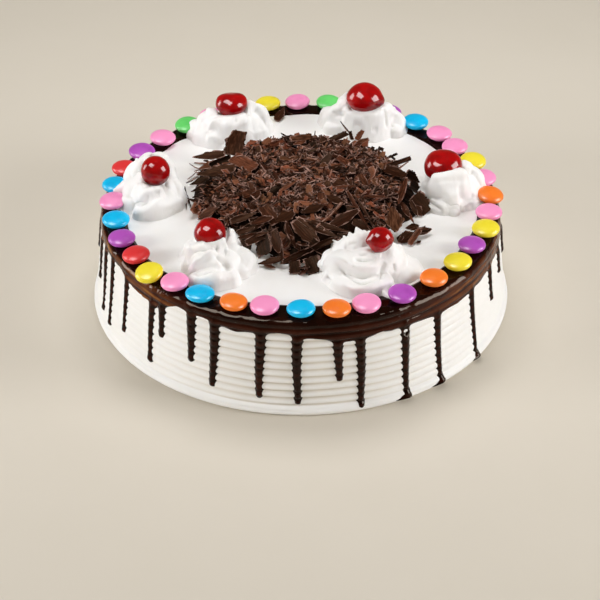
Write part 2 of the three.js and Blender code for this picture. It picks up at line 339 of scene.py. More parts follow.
# %% [markdown]
# ### Whipped cream
# Fat-rich foam: nearly white with a breath of yellow, matt but for the sheen of butterfat, and
# light enters it a few millimetres before it comes back. Fine pores show as a faint grain.
# In the comb's grooves the colour is painted darker and warmer, most at the front and back: painted shade.

# %% Cream finish


def whipped_cream():
    """Whipped dairy cream, smoothed or piped."""
    tree, place, close = new_finish("whipped_cream")
    cloud = lumps(tree, place, 0.025, 3.0)
    pores = lumps(tree, place, 0.0011, 4.0)
    # Painted shade: the grooves are mixed towards a darker, warmer cream.
    painted_groove_shade = add(tree, "MixRGB", {
        "Fac": carried(tree, "painted_groove_shade"),
        "Color1": shades(tree, cloud, "#f3f1ee", "#f8f7f5", "#faf9f8"),
        "Color2": linear("#dcd4c6"),
    })
    return close(add(tree, "BsdfPrincipled", {
        "Base Color": painted_groove_shade.outputs["Color"],
        "Roughness": remap(tree, cloud, (0.3, 0.7), (0.4, 0.52)),
        "IOR": 1.35,
        "Subsurface Weight": 0.08,
        "Subsurface Radius": (1.0, 0.85, 0.7),
        "Subsurface Scale": 0.0015,
        "Normal": bumped(tree, pores, 0.35, 0.00012),
    }))


CREAM = whipped_cream()

# %% [markdown]
# ## The cream-coated cake
# The cake could be a lathed profile with a displacement, but the comb marks waver and the foot
# is squeezed against the board, so the surface is computed: one parameter is the bearing, the
# other is the distance along the profile, measured from where the flat top ends. Each point is
# then moved along the surface's own normal by the relief of the comb, the foot and the
# palette knife.

# %% Relief of the comb and the foot
COMB_WAVER = 0.3  # mm: how far the hand with the comb strayed up and down
CREST_POWER = 0.55  # below 1 the crests are broad and the grooves narrow
BEAD_BULGE, BEAD_POWER = 2.0, 0.6  # mm at its middle, and a power below 1 that makes it full
BEAD_SUNK, BEAD_LEAN = 0.4, 0.5  # mm: all of it is drawn in, and its upper edge once more
CRACK_HEIGHT, CRACK_WIDTH, CRACK_DEPTH = 3.1, 0.45, 0.8


def comb(points, height):
    """How deep the comb's teeth went: 0 on the crests and 1 in the narrow grooves, which is
    1 minus a flattened sine of the height. The hand that held the comb wavered a little."""
    waver = COMB_WAVER * ripple(points * (1, 1, 0.3), 50, 3)
    crest = np.abs(np.sin(np.pi * (height - FOOT_HEIGHT + waver) / RIDGE_PITCH)) ** CREST_POWER
    return (1 - crest) * np.clip((SIDE_TOP + 1 - height) / 1.5, 0, 1)


def foot(points, height):
    """The bead at the base bulges by the power of a half sine. A crack wanders along it, a
    little above its middle."""
    share = np.clip(height / FOOT_HEIGHT, 0, 1)
    bead = BEAD_BULGE * np.sin(np.pi * share) ** BEAD_POWER - BEAD_SUNK - BEAD_LEAN * share**3
    middle = CRACK_HEIGHT + 0.6 * ripple(points * (1, 1, 0), 30, 5)
    crack = bell(height - middle, CRACK_WIDTH) * np.clip(0.5 + 0.6 * ripple(points, 16, 6), 0, 1)
    return bead - CRACK_DEPTH * crack


print("ridges up the side:", int((SIDE_TOP - FOOT_HEIGHT) / RIDGE_PITCH))

# %% Shape of the coated cake
SIDE_PRESS, FRONT_PRESS = 0.3, 1.15  # how hard the comb was pressed, and what front and back add
LOPSIDED = 0.3  # mm: slow unevenness of the whole cake
KNIFE_SWELL, KNIFE_RIDGE, KNIFE_STEP = 0.16, 0.05, 2.6  # mm: marks of the palette knife on top
PITTED = 0.04


def cake_surface(bearing, along, comb_share=1.0):
    """Points and outward normals. along is negative on the flat top, runs over the rounded
    edge up to ROUND, and then down the flared side. comb_share softens the comb's relief."""
    angle = np.clip(along, 0, ROUND) / EDGE_RADIUS
    down = np.maximum(along - ROUND, 0)
    height = SIDE_TOP + EDGE_RADIUS * np.cos(angle) - down
    radius = EDGE_CENTRE + EDGE_RADIUS * np.sin(angle) + np.minimum(along, 0) + FLARE * down
    plain = polar(bearing, radius, height)
    normal = polar(bearing, np.sin(angle), np.cos(angle))
    press = SIDE_PRESS + FRONT_PRESS * np.sin(bearing) ** 4
    depth = RIDGE_DEPTH * comb_share * press * (1 + 0.25 * ripple(plain, 25, 2))
    on_foot = height < FOOT_HEIGHT
    relief = np.where(on_foot, foot(plain, height), -depth * comb(plain, height))
    relief += LOPSIDED * ripple(plain, 75, 1) * np.clip(height / FOOT_HEIGHT, 0, 1)
    flat = np.clip(-along / 6, 0, 1)
    turns = np.sin(radius / KNIFE_STEP + 2 * ripple(plain, 60, 8))
    knife = KNIFE_SWELL * ripple(plain, 38, 4) + KNIFE_RIDGE * turns
    relief += flat * knife + PITTED * ripple(plain, 2.2, 7)
    return plain + normal * relief[..., None], normal


def coated_cake(columns=600):
    """The whole cream body: top from the middle outwards, with few rings where the heap covers
    it, then the side and the flat underside. The last value is painted shade, which darkens
    the comb's grooves, most in front and behind."""
    covered, bare = np.linspace(3, 44, 6), np.linspace(47, EDGE_CENTRE - 2, 25)
    top = np.concatenate([covered, bare]) - EDGE_CENTRE
    side = ROUND + np.linspace(0.44, SIDE_TOP, 108)
    along = np.concatenate([top, np.linspace(0, ROUND, 6), side])[:, None]
    bearing = np.linspace(0, 2 * np.pi, columns, endpoint=False)[None, :]
    skin, _ = cake_surface(bearing, along)
    under = [polar(bearing, radius, 0.0) for radius in (101.0, 60.0, 5.0)]
    points, faces = capped(np.concatenate([skin, *under]))
    height = points[:, 2]
    # Painted shade in the comb's grooves, most at the front and back.
    painted_groove_shade = comb(points, height) * (height > FOOT_HEIGHT) * (points[:, 1] / EDGE_CENTRE) ** 6
    return points, faces, np.clip(painted_groove_shade, 0, 1)


points, faces, painted_groove_shade = coated_cake()
mesh = mesh_from("coated_cake", points, facing_out(points, faces), {"painted_groove_shade": painted_groove_shade})
piece(mesh, CREAM, "whipped_cream", ["cake_body"])

# %% [markdown]
# ## Ganache
# Ganache is a film whose edge is rounded by its own surface tension. It is made as a height
# field on the cake: a flow function is positive where there is ganache and gives the distance
# to its edge. The film's thickness rises with that distance and levels off. Where the function
# is negative, the film dives under the cream, so the visible edge is exactly where the two
# surfaces meet. The ganache fills the comb's grooves better than it covers their crests, which
# is why each drip is wider at a groove and the bare cream bites into it at a crest.

# %% Where the ganache ran
# Drips round the front: bearing, height of the tip over the base, and height of the arch of
# bare cream on the drip's anticlockwise side.
FRONT_DRIPS = [
    (192, 21, 45), (198, 9, 45), (204, 7, 46), (213, 13, 41), (225, 8, 41), (229, 25, 46),
    (239, 19, 45), (246, 9, 42), (259, 8, 44), (269, 5.5, 41), (280, 17, 38), (286, 2, 40),
    (299, 1, 39), (310, 1, 38), (325, 1, 39), (337, 20, 40), (346, 26, 41),
]
BACK_DRIPS = 14
FIRST_BACK = 356
# Tip and arch of the drips behind: the mean and how far it may differ. Sines of the drip's
# number make each of them different.
BACK_TIP, BACK_ARCH = (19, 9), (43, 2)
back_step = (360 + FRONT_DRIPS[0][0] - FIRST_BACK) / BACK_DRIPS
number = np.arange(BACK_DRIPS)
back = np.stack([
    FIRST_BACK + number * back_step + 2.2 * np.sin(5 * number),
    BACK_TIP[0] + BACK_TIP[1] * np.sin(2.4 * number + 1),
    BACK_ARCH[0] + BACK_ARCH[1] * np.sin(3 * number),
], 1)
drip_bearing, drip_tip, drip_arch = np.concatenate([FRONT_DRIPS, back]).T
FEET = {299: 7.0, 310: 6.5, 325: 4.5}  # drips that reached the board: mm that they crept on it
PUDDLE = 2.0  # mm: half the width of such a foot, and the height of its middle
HOLES = [(220.0, 40.6, 1.0), (299.3, 36.9, 0.9)]  # bearing, height, radius of a gap in the film
INNER_FRONT, INNER_BACK = 86.0, 88.5  # radius of the ring's inner edge

print("feet on the board:", len(FEET), "and gaps in the film:", len(HOLES))
print("drips:", len(drip_bearing), "longest", round(float(TOP_HEIGHT - drip_tip.min()), 1), "mm")

# %% Distance to the edge of the ganache
BLEND = 0.75  # mm: how softly two flows run together


def between(bearing, table_bearing, table_value):
    """Linear interpolation round the full circle, in degrees."""
    order = np.argsort(table_bearing % 360)
    return np.interp(bearing % 360, (table_bearing % 360)[order], table_value[order], period=360)


def arc_length(bearing, other):
    """Distance in mm from one bearing to another, in degrees, round the rim."""
    return np.radians((bearing - other + 180) % 360 - 180) * (RIM_RADIUS + 2)


def drip_fields(bearing, height, groove):
    """For each drip the distance to its edge: half its width minus the distance to its middle
    line, which ends above the tip so that the tip is round. Half the width grows upwards, at
    the grooves and, on some drips, in the bulb at the tip."""
    fields = []
    for number, (middle, tip) in enumerate(zip(drip_bearing, drip_tip)):
        half_top = np.interp(middle, [190, 215, 240, 300, 350], [2.0, 2.2, 2.9, 2.7, 2.2])
        bulb = np.interp(middle, [190, 225, 240, 325, 340], [0.8, 0.7, 0.1, 0.1, 0.6])
        share = np.clip((height - tip) / (40 - tip), 0, 1)
        half = half_top * (0.6 + 0.4 * share) + 0.75 * (groove - 0.35)
        half = half + bulb * bell(height - tip - 2.2, 2.4)
        meander = 0.3 * np.sin(height / 8 + 5 * number)
        aside = arc_length(bearing, middle) - meander
        short = np.maximum(tip + half - height, 0)
        fields.append(half - np.hypot(aside, short))
    for middle, reach in FEET.items():
        aside = arc_length(bearing, middle)
        share = np.clip(-aside / reach, 0, 1)
        above = (height - PUDDLE + 0.6 * share) * 1.3
        fields.append(PUDDLE - 1.7 * share - np.hypot(aside + reach * share, above))
    return np.stack(fields)


def flow(bearing, height, radius, points, groove):
    """Distance to the edge of the ganache, and the share of it that is drip. The band and the
    drips are joined by a smooth maximum, the log of a sum of exponentials, which also rounds
    the corners where a drip leaves the band. The inner edge and the holes are cut by minimum."""
    middles = drip_bearing + (np.roll(drip_bearing, -1) - drip_bearing) % 360 / 2
    arch = between(bearing, middles, drip_arch)
    band = height - arch + 0.35 * ripple(points, 9, 21) + 0.4 * groove
    drips = drip_fields(bearing, height, groove)
    weights = np.exp(np.minimum(drips, 4) / BLEND).sum(axis=0)
    rim = np.exp(np.clip(band, -20, 6) / BLEND)
    field = BLEND * np.log(rim + weights)
    inner = INNER_FRONT + (INNER_BACK - INNER_FRONT) * (1 + np.sin(np.radians(bearing))) / 2
    field = np.minimum(field, radius - inner + 0.7 * ripple(points, 22, 22))
    for middle, level, size in HOLES:
        field = np.minimum(field, np.hypot(arc_length(bearing, middle), height - level) - size)
    return field, weights / (rim + weights)


# %% [markdown]
# The grid's columns crowd together at the drips. A density gives how many columns a degree
# needs, its running sum counts them, and evenly spaced counts give the bearings back.

# %% Ganache coat
FILM, DRIP_EXTRA = 0.95, 0.5  # mm: thickness of the film, and what a drip adds
RUN_OFF = 0.42  # mm less at the left and right, where more of it ran off
FILM_TRIM = 0.18  # mm less everywhere, which draws the visible edge in
MENISCUS, MENISCUS_AT = 0.3, 6.0  # mm: the rise round each button, and its radius
EDGE_SLOPE = 1.15  # thickness gained for each mm from the edge
BURIED = 0.85  # mm: how deep the film dives under the cream
SUNK = 1.5  # mm: depth of its unseen inner face
# The film is painted browner at the left and right: partly for its thinness there, partly as a painted
# reflection of warm surroundings.
GOLD_LEFT, GOLD_RIGHT = 0.9, 0.62  # how brown the thin film is at the left and right
TOP_ROWS, EDGE_ROWS = 9, 7  # rows of the grid on the top and on the rounded edge


def crowded_bearings(near=0.55, far=1.3, reach=3.4):
    """Bearings in degrees, about near mm apart at a drip and far mm apart elsewhere."""
    fine = np.linspace(0, 360, 7200, endpoint=False)
    distance = np.abs(arc_length(fine[:, None], drip_bearing[None, :])).min(axis=1)
    spacing = near + (far - near) * np.clip((distance - reach) / 1.5, 0, 1)
    count = np.cumsum(arc_length(fine[1], fine[0]) / spacing)
    wanted = np.linspace(0, count[-1], int(count[-1]), endpoint=False)
    return np.interp(wanted, count, fine)


def button_centres():
    """Middle of each button's box in the frame, in mm."""
    names = sorted(name for name in frame["nodes"] if name.startswith("candy_"))
    boxes = [np.array(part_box(name)) for name in names]
    return names, np.array([corners.mean(axis=0) for corners in boxes]) / MM


print("columns of the ganache's grid:", len(crowded_bearings()))


def ganache_coat():
    """Outer face: softened comb plus the film. Inner face: the plain cake, sunk. Quads that
    lie wholly under the cream are dropped, and the rim left by them is stitched shut. The last
    value says how brown the film is: partly how thin it is, partly a painted reflection at the
    left and right and painted light on the comb's crests."""
    bearing = crowded_bearings()[None, :]
    top = np.linspace(INNER_FRONT - 2 - EDGE_CENTRE, -0.8, TOP_ROWS)
    side = ROUND + np.concatenate([np.arange(0.5, 13, 0.55), np.arange(13, SIDE_TOP - 0.3, 0.62)])
    along = np.concatenate([top, np.linspace(0, ROUND, EDGE_ROWS), side])[:, None]
    base, normal = cake_surface(np.radians(bearing), along, comb_share=0.75)
    height = base[..., 2]
    radius = np.hypot(base[..., 0], base[..., 1])
    groove = comb(base, height)
    field, drip_share = flow(bearing, height, radius, base, groove)
    thinned = RUN_OFF * np.abs(np.cos(np.radians(bearing))) ** 2.5 * (height < SIDE_TOP + 2)
    full = FILM - thinned + (DRIP_EXTRA + thinned) * drip_share
    full = full + 0.1 * ripple(base * (1, 1, 3), 16, 23)
    inward = np.clip(field * EDGE_SLOPE / (2 * full), 0, 1)
    film = full * (1 - (1 - inward) ** 2) + np.minimum(field * EDGE_SLOPE, 0)
    _, centres = button_centres()
    upper = slice(0, TOP_ROWS + EDGE_ROWS)
    away = np.sqrt(((base[upper, :, None, :2] - centres[None, None, :, :2]) ** 2).sum(-1)).min(-1)
    film[upper] += MENISCUS * bell(away - MENISCUS_AT, 1.1) * (field[upper] > 0.5)
    film = np.maximum(film - FILM_TRIM, -BURIED)
    outer = base + normal * film[..., None]
    inner, _ = cake_surface(np.radians(bearing), along, comb_share=0.0)
    inner = inner - normal * SUNK
    inner[..., 2] = np.maximum(inner[..., 2], 0.3)
    # Painted reflection at the left and right, mixed with the browner colour of the thinner film there.
    sideways = np.cos(np.radians(bearing))
    side_film_and_reflection = np.clip((np.abs(sideways) - 0.4) / 0.35, 0, 1)
    side_film_and_reflection = side_film_and_reflection * np.where(sideways < 0, GOLD_LEFT, GOLD_RIGHT)
    side_film_and_reflection = side_film_and_reflection * (1 - 0.85 * drip_share) * (height < SIDE_TOP + 2.2)
    streaks = 0.22 * ripple(base * (1, 1, 9), 15, 24) - 0.5 * groove
    # The comb's crests are painted lighter: partly thinner film over them, partly painted light.
    crests = 0.17 * (1 - groove) ** 2 * (height < SIDE_TOP)
    thinness_and_gleam = 0.12 + side_film_and_reflection * (0.45 + streaks) + crests - 0.1 * drip_share
    points, faces, used = lined(outer, inner, film > -BURIED + 0.02)
    return points, faces, np.concatenate([thinness_and_gleam.ravel(), 0 * thinness_and_gleam.ravel()])[used]


# %% [markdown]
# ### Ganache finish
# Chocolate melted in cream: almost black where it is thick. Where it is thin over white cream,
# light comes through it brown. One attribute carries that from the shape to the colour, and
# with it a painted reflection at the left and right and painted light on the comb's crests.
# It sets with a very smooth skin, so it is glossy like lacquer.

# %% Ganache finish and piece


def poured_ganache():
    """Dark chocolate ganache, set, high gloss."""
    tree, place, close = new_finish("poured_ganache")
    streak = lumps(tree, place, 0.012, 3.0)
    skin = lumps(tree, place, 0.004, 2.0)
    # The carried value is the film's thinness with a painted reflection at the sides and painted light on
    # the crests.
    uneven = sums(tree, "MULTIPLY_ADD", streak, 0.3, carried(tree, "thinness_and_gleam"))
    return close(add(tree, "BsdfPrincipled", {
        "Base Color": shades(tree, uneven, "#0a0201", "#190603", "#3a1509", "#673615", "#93622c"),
        "Roughness": remap(tree, streak, (0.3, 0.7), (0.06, 0.16)),
        "IOR": 1.47,
        "Specular IOR Level": 0.2,
        "Specular Tint": linear("#fff0dc"),
        "Normal": bumped(tree, skin, 0.5, 0.0002),
    }))


GANACHE = poured_ganache()
points, faces, thinness_and_gleam = ganache_coat()
coat = mesh_from("ganache_coat", points, facing_out(points, faces), {"thinness_and_gleam": thinness_and_gleam})
piece(coat, GANACHE, "ganache", ["ganache_drip"])

# %% [markdown]
# ## Sugar-coated buttons
# A chocolate lentil is tumbled in coloured sugar syrup until it has a thin polished shell. Its
# form is a flat ellipsoid, a little fuller at the shoulder. Each button takes its middle and
# its tilt from its CAD node: the direction in which the node's corners spread least is its
# axis. All buttons of one colour are one piece.

# %% Shells of the buttons
# For each slot the darker and the lighter colour of its mottling.
SHELLS = {
    "candy_pink": ("#f07ebb", "#ff9dce"), "candy_yellow": ("#e8d40a", "#f8e638"),
    "candy_blue": ("#00a4e4", "#00c2f6"), "candy_purple": ("#9c3aa6", "#b854c0"),
    "candy_orange": ("#f86814", "#fd832c"), "candy_red": ("#d01a20", "#e6383a"),
    "candy_green": ("#46c653", "#6edd72"),
}


def polished_shell(name, dark, light):
    """Panned sugar shell, polished with wax: a satin gloss, mottled where the syrup pooled."""
    tree, place, close = new_finish(name)
    pool = lumps(tree, place, 0.006, 3.0)
    dimples = lumps(tree, place, 0.0016, 2.0)
    return close(add(tree, "BsdfPrincipled", {
        "Base Color": shades(tree, pool, dark, light, light),
        "Roughness": 0.3,
        "IOR": 1.5,
        "Specular IOR Level": 0.4,
        "Normal": bumped(tree, dimples, 0.2, 0.0001),
    }))


# %% Buttons
BUTTON_WIDTH, BUTTON_THICKNESS = 13.5, 5.6
SHOULDER_POWER = 0.9  # below 1 the lens is fuller than an ellipsoid
PRESSED_IN = 0.25  # mm: how much deeper than its CAD node a button sits in the ganache


def axis_of(name):
    """Least spread direction of a node's corners, pointing up."""
    corners = np.array([vertex.co for vertex in frame["nodes"][name].data.vertices])
    _, directions = np.linalg.eigh(np.cov(corners.T))
    axis = directions[:, 0]
    return axis * np.sign(axis[2])


def button(centre, axis, seed):
    """A lens: its radius is a power of a cosine, its height a sine, with small dents."""
    rng = np.random.default_rng(seed)
    latitude, turn = globe(21, 40)
    half = BUTTON_WIDTH / 2 * rng.uniform(0.975, 1.02, 2)
    thick = BUTTON_THICKNESS / 2 * rng.uniform(0.94, 1.05)
    out = np.cos(latitude) ** SHOULDER_POWER
    lens = np.stack(np.broadcast_arrays(
        half[0] * out * np.cos(turn), half[1] * out * np.sin(turn), thick * np.sin(latitude)
    ), -1)
    lens *= 1 + 0.012 * ripple(lens, 9, seed)[..., None]
    axis = unit(axis + rng.normal(0, 0.035, 3))
    side = unit(np.cross(axis, (0.3, 1, 0)))  # any direction across the axis
    return capped(lens @ np.stack([side, np.cross(axis, side), axis]) + centre)


names, centres = button_centres()
slots = {part["node"]: part["material_slot"] for part in frame["record"]["subparts"]}
for slot, (dark, light) in SHELLS.items():
    members = [i for i, name in enumerate(names) if slots[name] == slot]
    lenses = [button(centres[i] - (0, 0, PRESSED_IN), axis_of(names[i]), 40 + i) for i in members]
    points, faces = joined(lenses)
    mesh = mesh_from(slot.replace("candy", "buttons"), points, facing_out(points, faces))
    piece(mesh, polished_shell(slot, dark, light), slot, [names[i] for i in members])

# %% [markdown]
# ## Piped rosettes
# A star nozzle lays down folds of cream that slump into one another. Each rosette is a height
# over the cake's top: a fold is a dome carried along a smooth path, and the domes are joined by
# a smooth maximum, so they melt together as soft cream does. Creases and lips follow lines of
# their own, each with a width on its left and another on its right, so that a lip can be steep
# on one side and gentle on the other.

# %% Folds as domes along a path
MELT = 0.5  # mm: how softly two folds run together
FALL = 3.0  # slope beyond the edge of a dome
LIP_FALL, LIP_RADIUS = 6.0, 1.7  # a thin lip falls off steeper by this much, below this radius


def smooth_path(stops, count):
    """Catmull-Rom curve through the stops. Their numbers beyond x and y are carried along."""
    stops = np.asarray(stops, float)
    knots = np.stack([2 * stops[0] - stops[1], *stops, 2 * stops[-1] - stops[-2]])
    at = np.linspace(0, len(stops) - 1, count)
    first = np.minimum(at.astype(int), len(stops) - 2)
    t = (at - first)[:, None]
    a, b, c, d = (knots[first + shift] for shift in range(4))
    quadratic, cubic = 2 * a - 5 * b + 4 * c - d, 3 * b - a - 3 * c + d
    return 0.5 * (2 * b + (c - a) * t + quadratic * t**2 + cubic * t**3)


def nearest(points, path):
    """For each point the number of the nearest point of the path and the distance to it."""
    distance = np.sqrt(((points[..., None, :] - path) ** 2).sum(axis=-1))
    at = distance.argmin(axis=-1)
    return at, np.take_along_axis(distance, at[..., None], -1)[..., 0]


def domes(flat, folds):
    """Height at points x, y: the log of the sum of the exponentials of all domes."""
    total = np.full(flat.shape[:-1], 1e-9)
    for stops in folds:
        path = smooth_path(stops, 36)
        at, distance = nearest(flat, path[:, :2])
        low, radius = path[at, 2], path[at, 3]
        dome = radius * np.sqrt(np.clip(1 - (distance / radius) ** 2, 0, 1))
        fall = FALL + LIP_FALL * np.exp(-((radius / LIP_RADIUS) ** 2))
        slide = fall * np.maximum(distance - radius, 0)
        total += np.exp(np.clip(low + dome - slide, -12, 40) / MELT)
    return MELT * np.log(total)


crown = domes(np.zeros((1, 2)), [[(-5, 0, 3, 9), (5, 0, 3, 9)]])[0]
print("a fold of radius 9 whose middle is 3 mm up is", crown.round(2), "mm high")

# %% Creases, flutes and a whole rosette
CREASE_GAIN = 1.45
CREASE_POINT = 1.35  # power of the fall beside a crease: 2 is round, 1 comes to a sharp line
FLUTES, FLUTE_DEPTH = 11, 1.1  # teeth of the star nozzle, and mm that they cut in
FLUTE_START, FLUTE_RUN = 4, 5  # mm behind the middle where flutes begin, and until full depth
ROSETTE_GRID = 0.4  # mm between the points of a rosette
# Heights over the cream's top, all under it: down to where a rosette has faces, where its skin
# ends, and its unseen underside.
SKIN_SHOWN, SKIN_END, UNDERSIDE = -0.85, -0.9, -1.2


def relief(skin, folds, creases):
    """Pointed bells across the creases, which lie on the surface of the domes, over a slight
    unevenness. The back keeps the upright flutes that the teeth of the nozzle left."""
    lift = 0.13 * ripple(skin, 8, 31) + 0.05 * ripple(skin, 2.6, 32)
    out = skin[..., :2] - np.array(folds[0])[:, :2].mean(axis=0)
    flute = np.abs(np.sin(FLUTES / 2 * np.arctan2(out[..., 1], out[..., 0]) + 0.2 * skin[..., 2]))
    lift -= FLUTE_DEPTH * (1 - flute) ** 2 * np.clip((out[..., 1] - FLUTE_START) / FLUTE_RUN, 0, 1)
    for stops, height, left, right in creases:
        path = smooth_path(stops, 90)
        path = np.column_stack([path, domes(path, folds)])
        at, distance = nearest(skin, path)
        ahead = np.gradient(path[:, :2], axis=0)[at]
        out = (skin - path[at])[..., :2]
        on_left = ahead[..., 0] * out[..., 1] > ahead[..., 1] * out[..., 0]
        fade = 1 - np.abs(2 * at / (len(path) - 1) - 1) ** 3
        width = np.where(on_left, left, right)
        lift += CREASE_GAIN * height * fade * np.exp(-((distance / width) ** CREASE_POINT))
    return lift


def rosette(name, folds, creases):
    """A grid over the rosette: raised by the domes, then moved along its normal by the relief,
    and closed underneath."""
    stops = np.concatenate([np.array(fold) for fold in folds])
    low = (stops[:, :2] - stops[:, 3:]).min(axis=0) - 3
    high = (stops[:, :2] + stops[:, 3:]).max(axis=0) + 3
    x, y = np.meshgrid(*(np.arange(a, b, ROSETTE_GRID) for a, b in zip(low, high)))
    height = domes(np.stack([x, y], -1), folds)
    slope_y, slope_x = np.gradient(height, ROSETTE_GRID)
    normal = unit(np.stack([-slope_x, -slope_y, np.ones_like(x)], -1))
    skin = np.stack([x, y, height], -1)
    skin += normal * (relief(skin, folds, creases) * np.clip(1 + height, 0, 1))[..., None]
    shown = skin[..., 2] > SKIN_SHOWN
    skin[..., 2] = TOP_HEIGHT + np.maximum(skin[..., 2], SKIN_END)
    under = skin * (1, 1, 0) + (0, 0, TOP_HEIGHT + UNDERSIDE)
    points, faces, _ = lined(skin, under, shown, ring=False)
    mesh = mesh_from(name, points, facing_out(points, faces))
    return piece(mesh, CREAM, "whipped_cream", ["cream_" + name])


# %% [markdown]
# The cook's hand shows in every rosette: where a fold fell over, where a tail was pulled up and
# where the cherry was pressed in. So each has its own lists. A fold is its stops: x, y, height
# of the dome's middle over the cake and radius. A crease is its stops, its lift (negative for
# a furrow) and its width on the left and on the right.

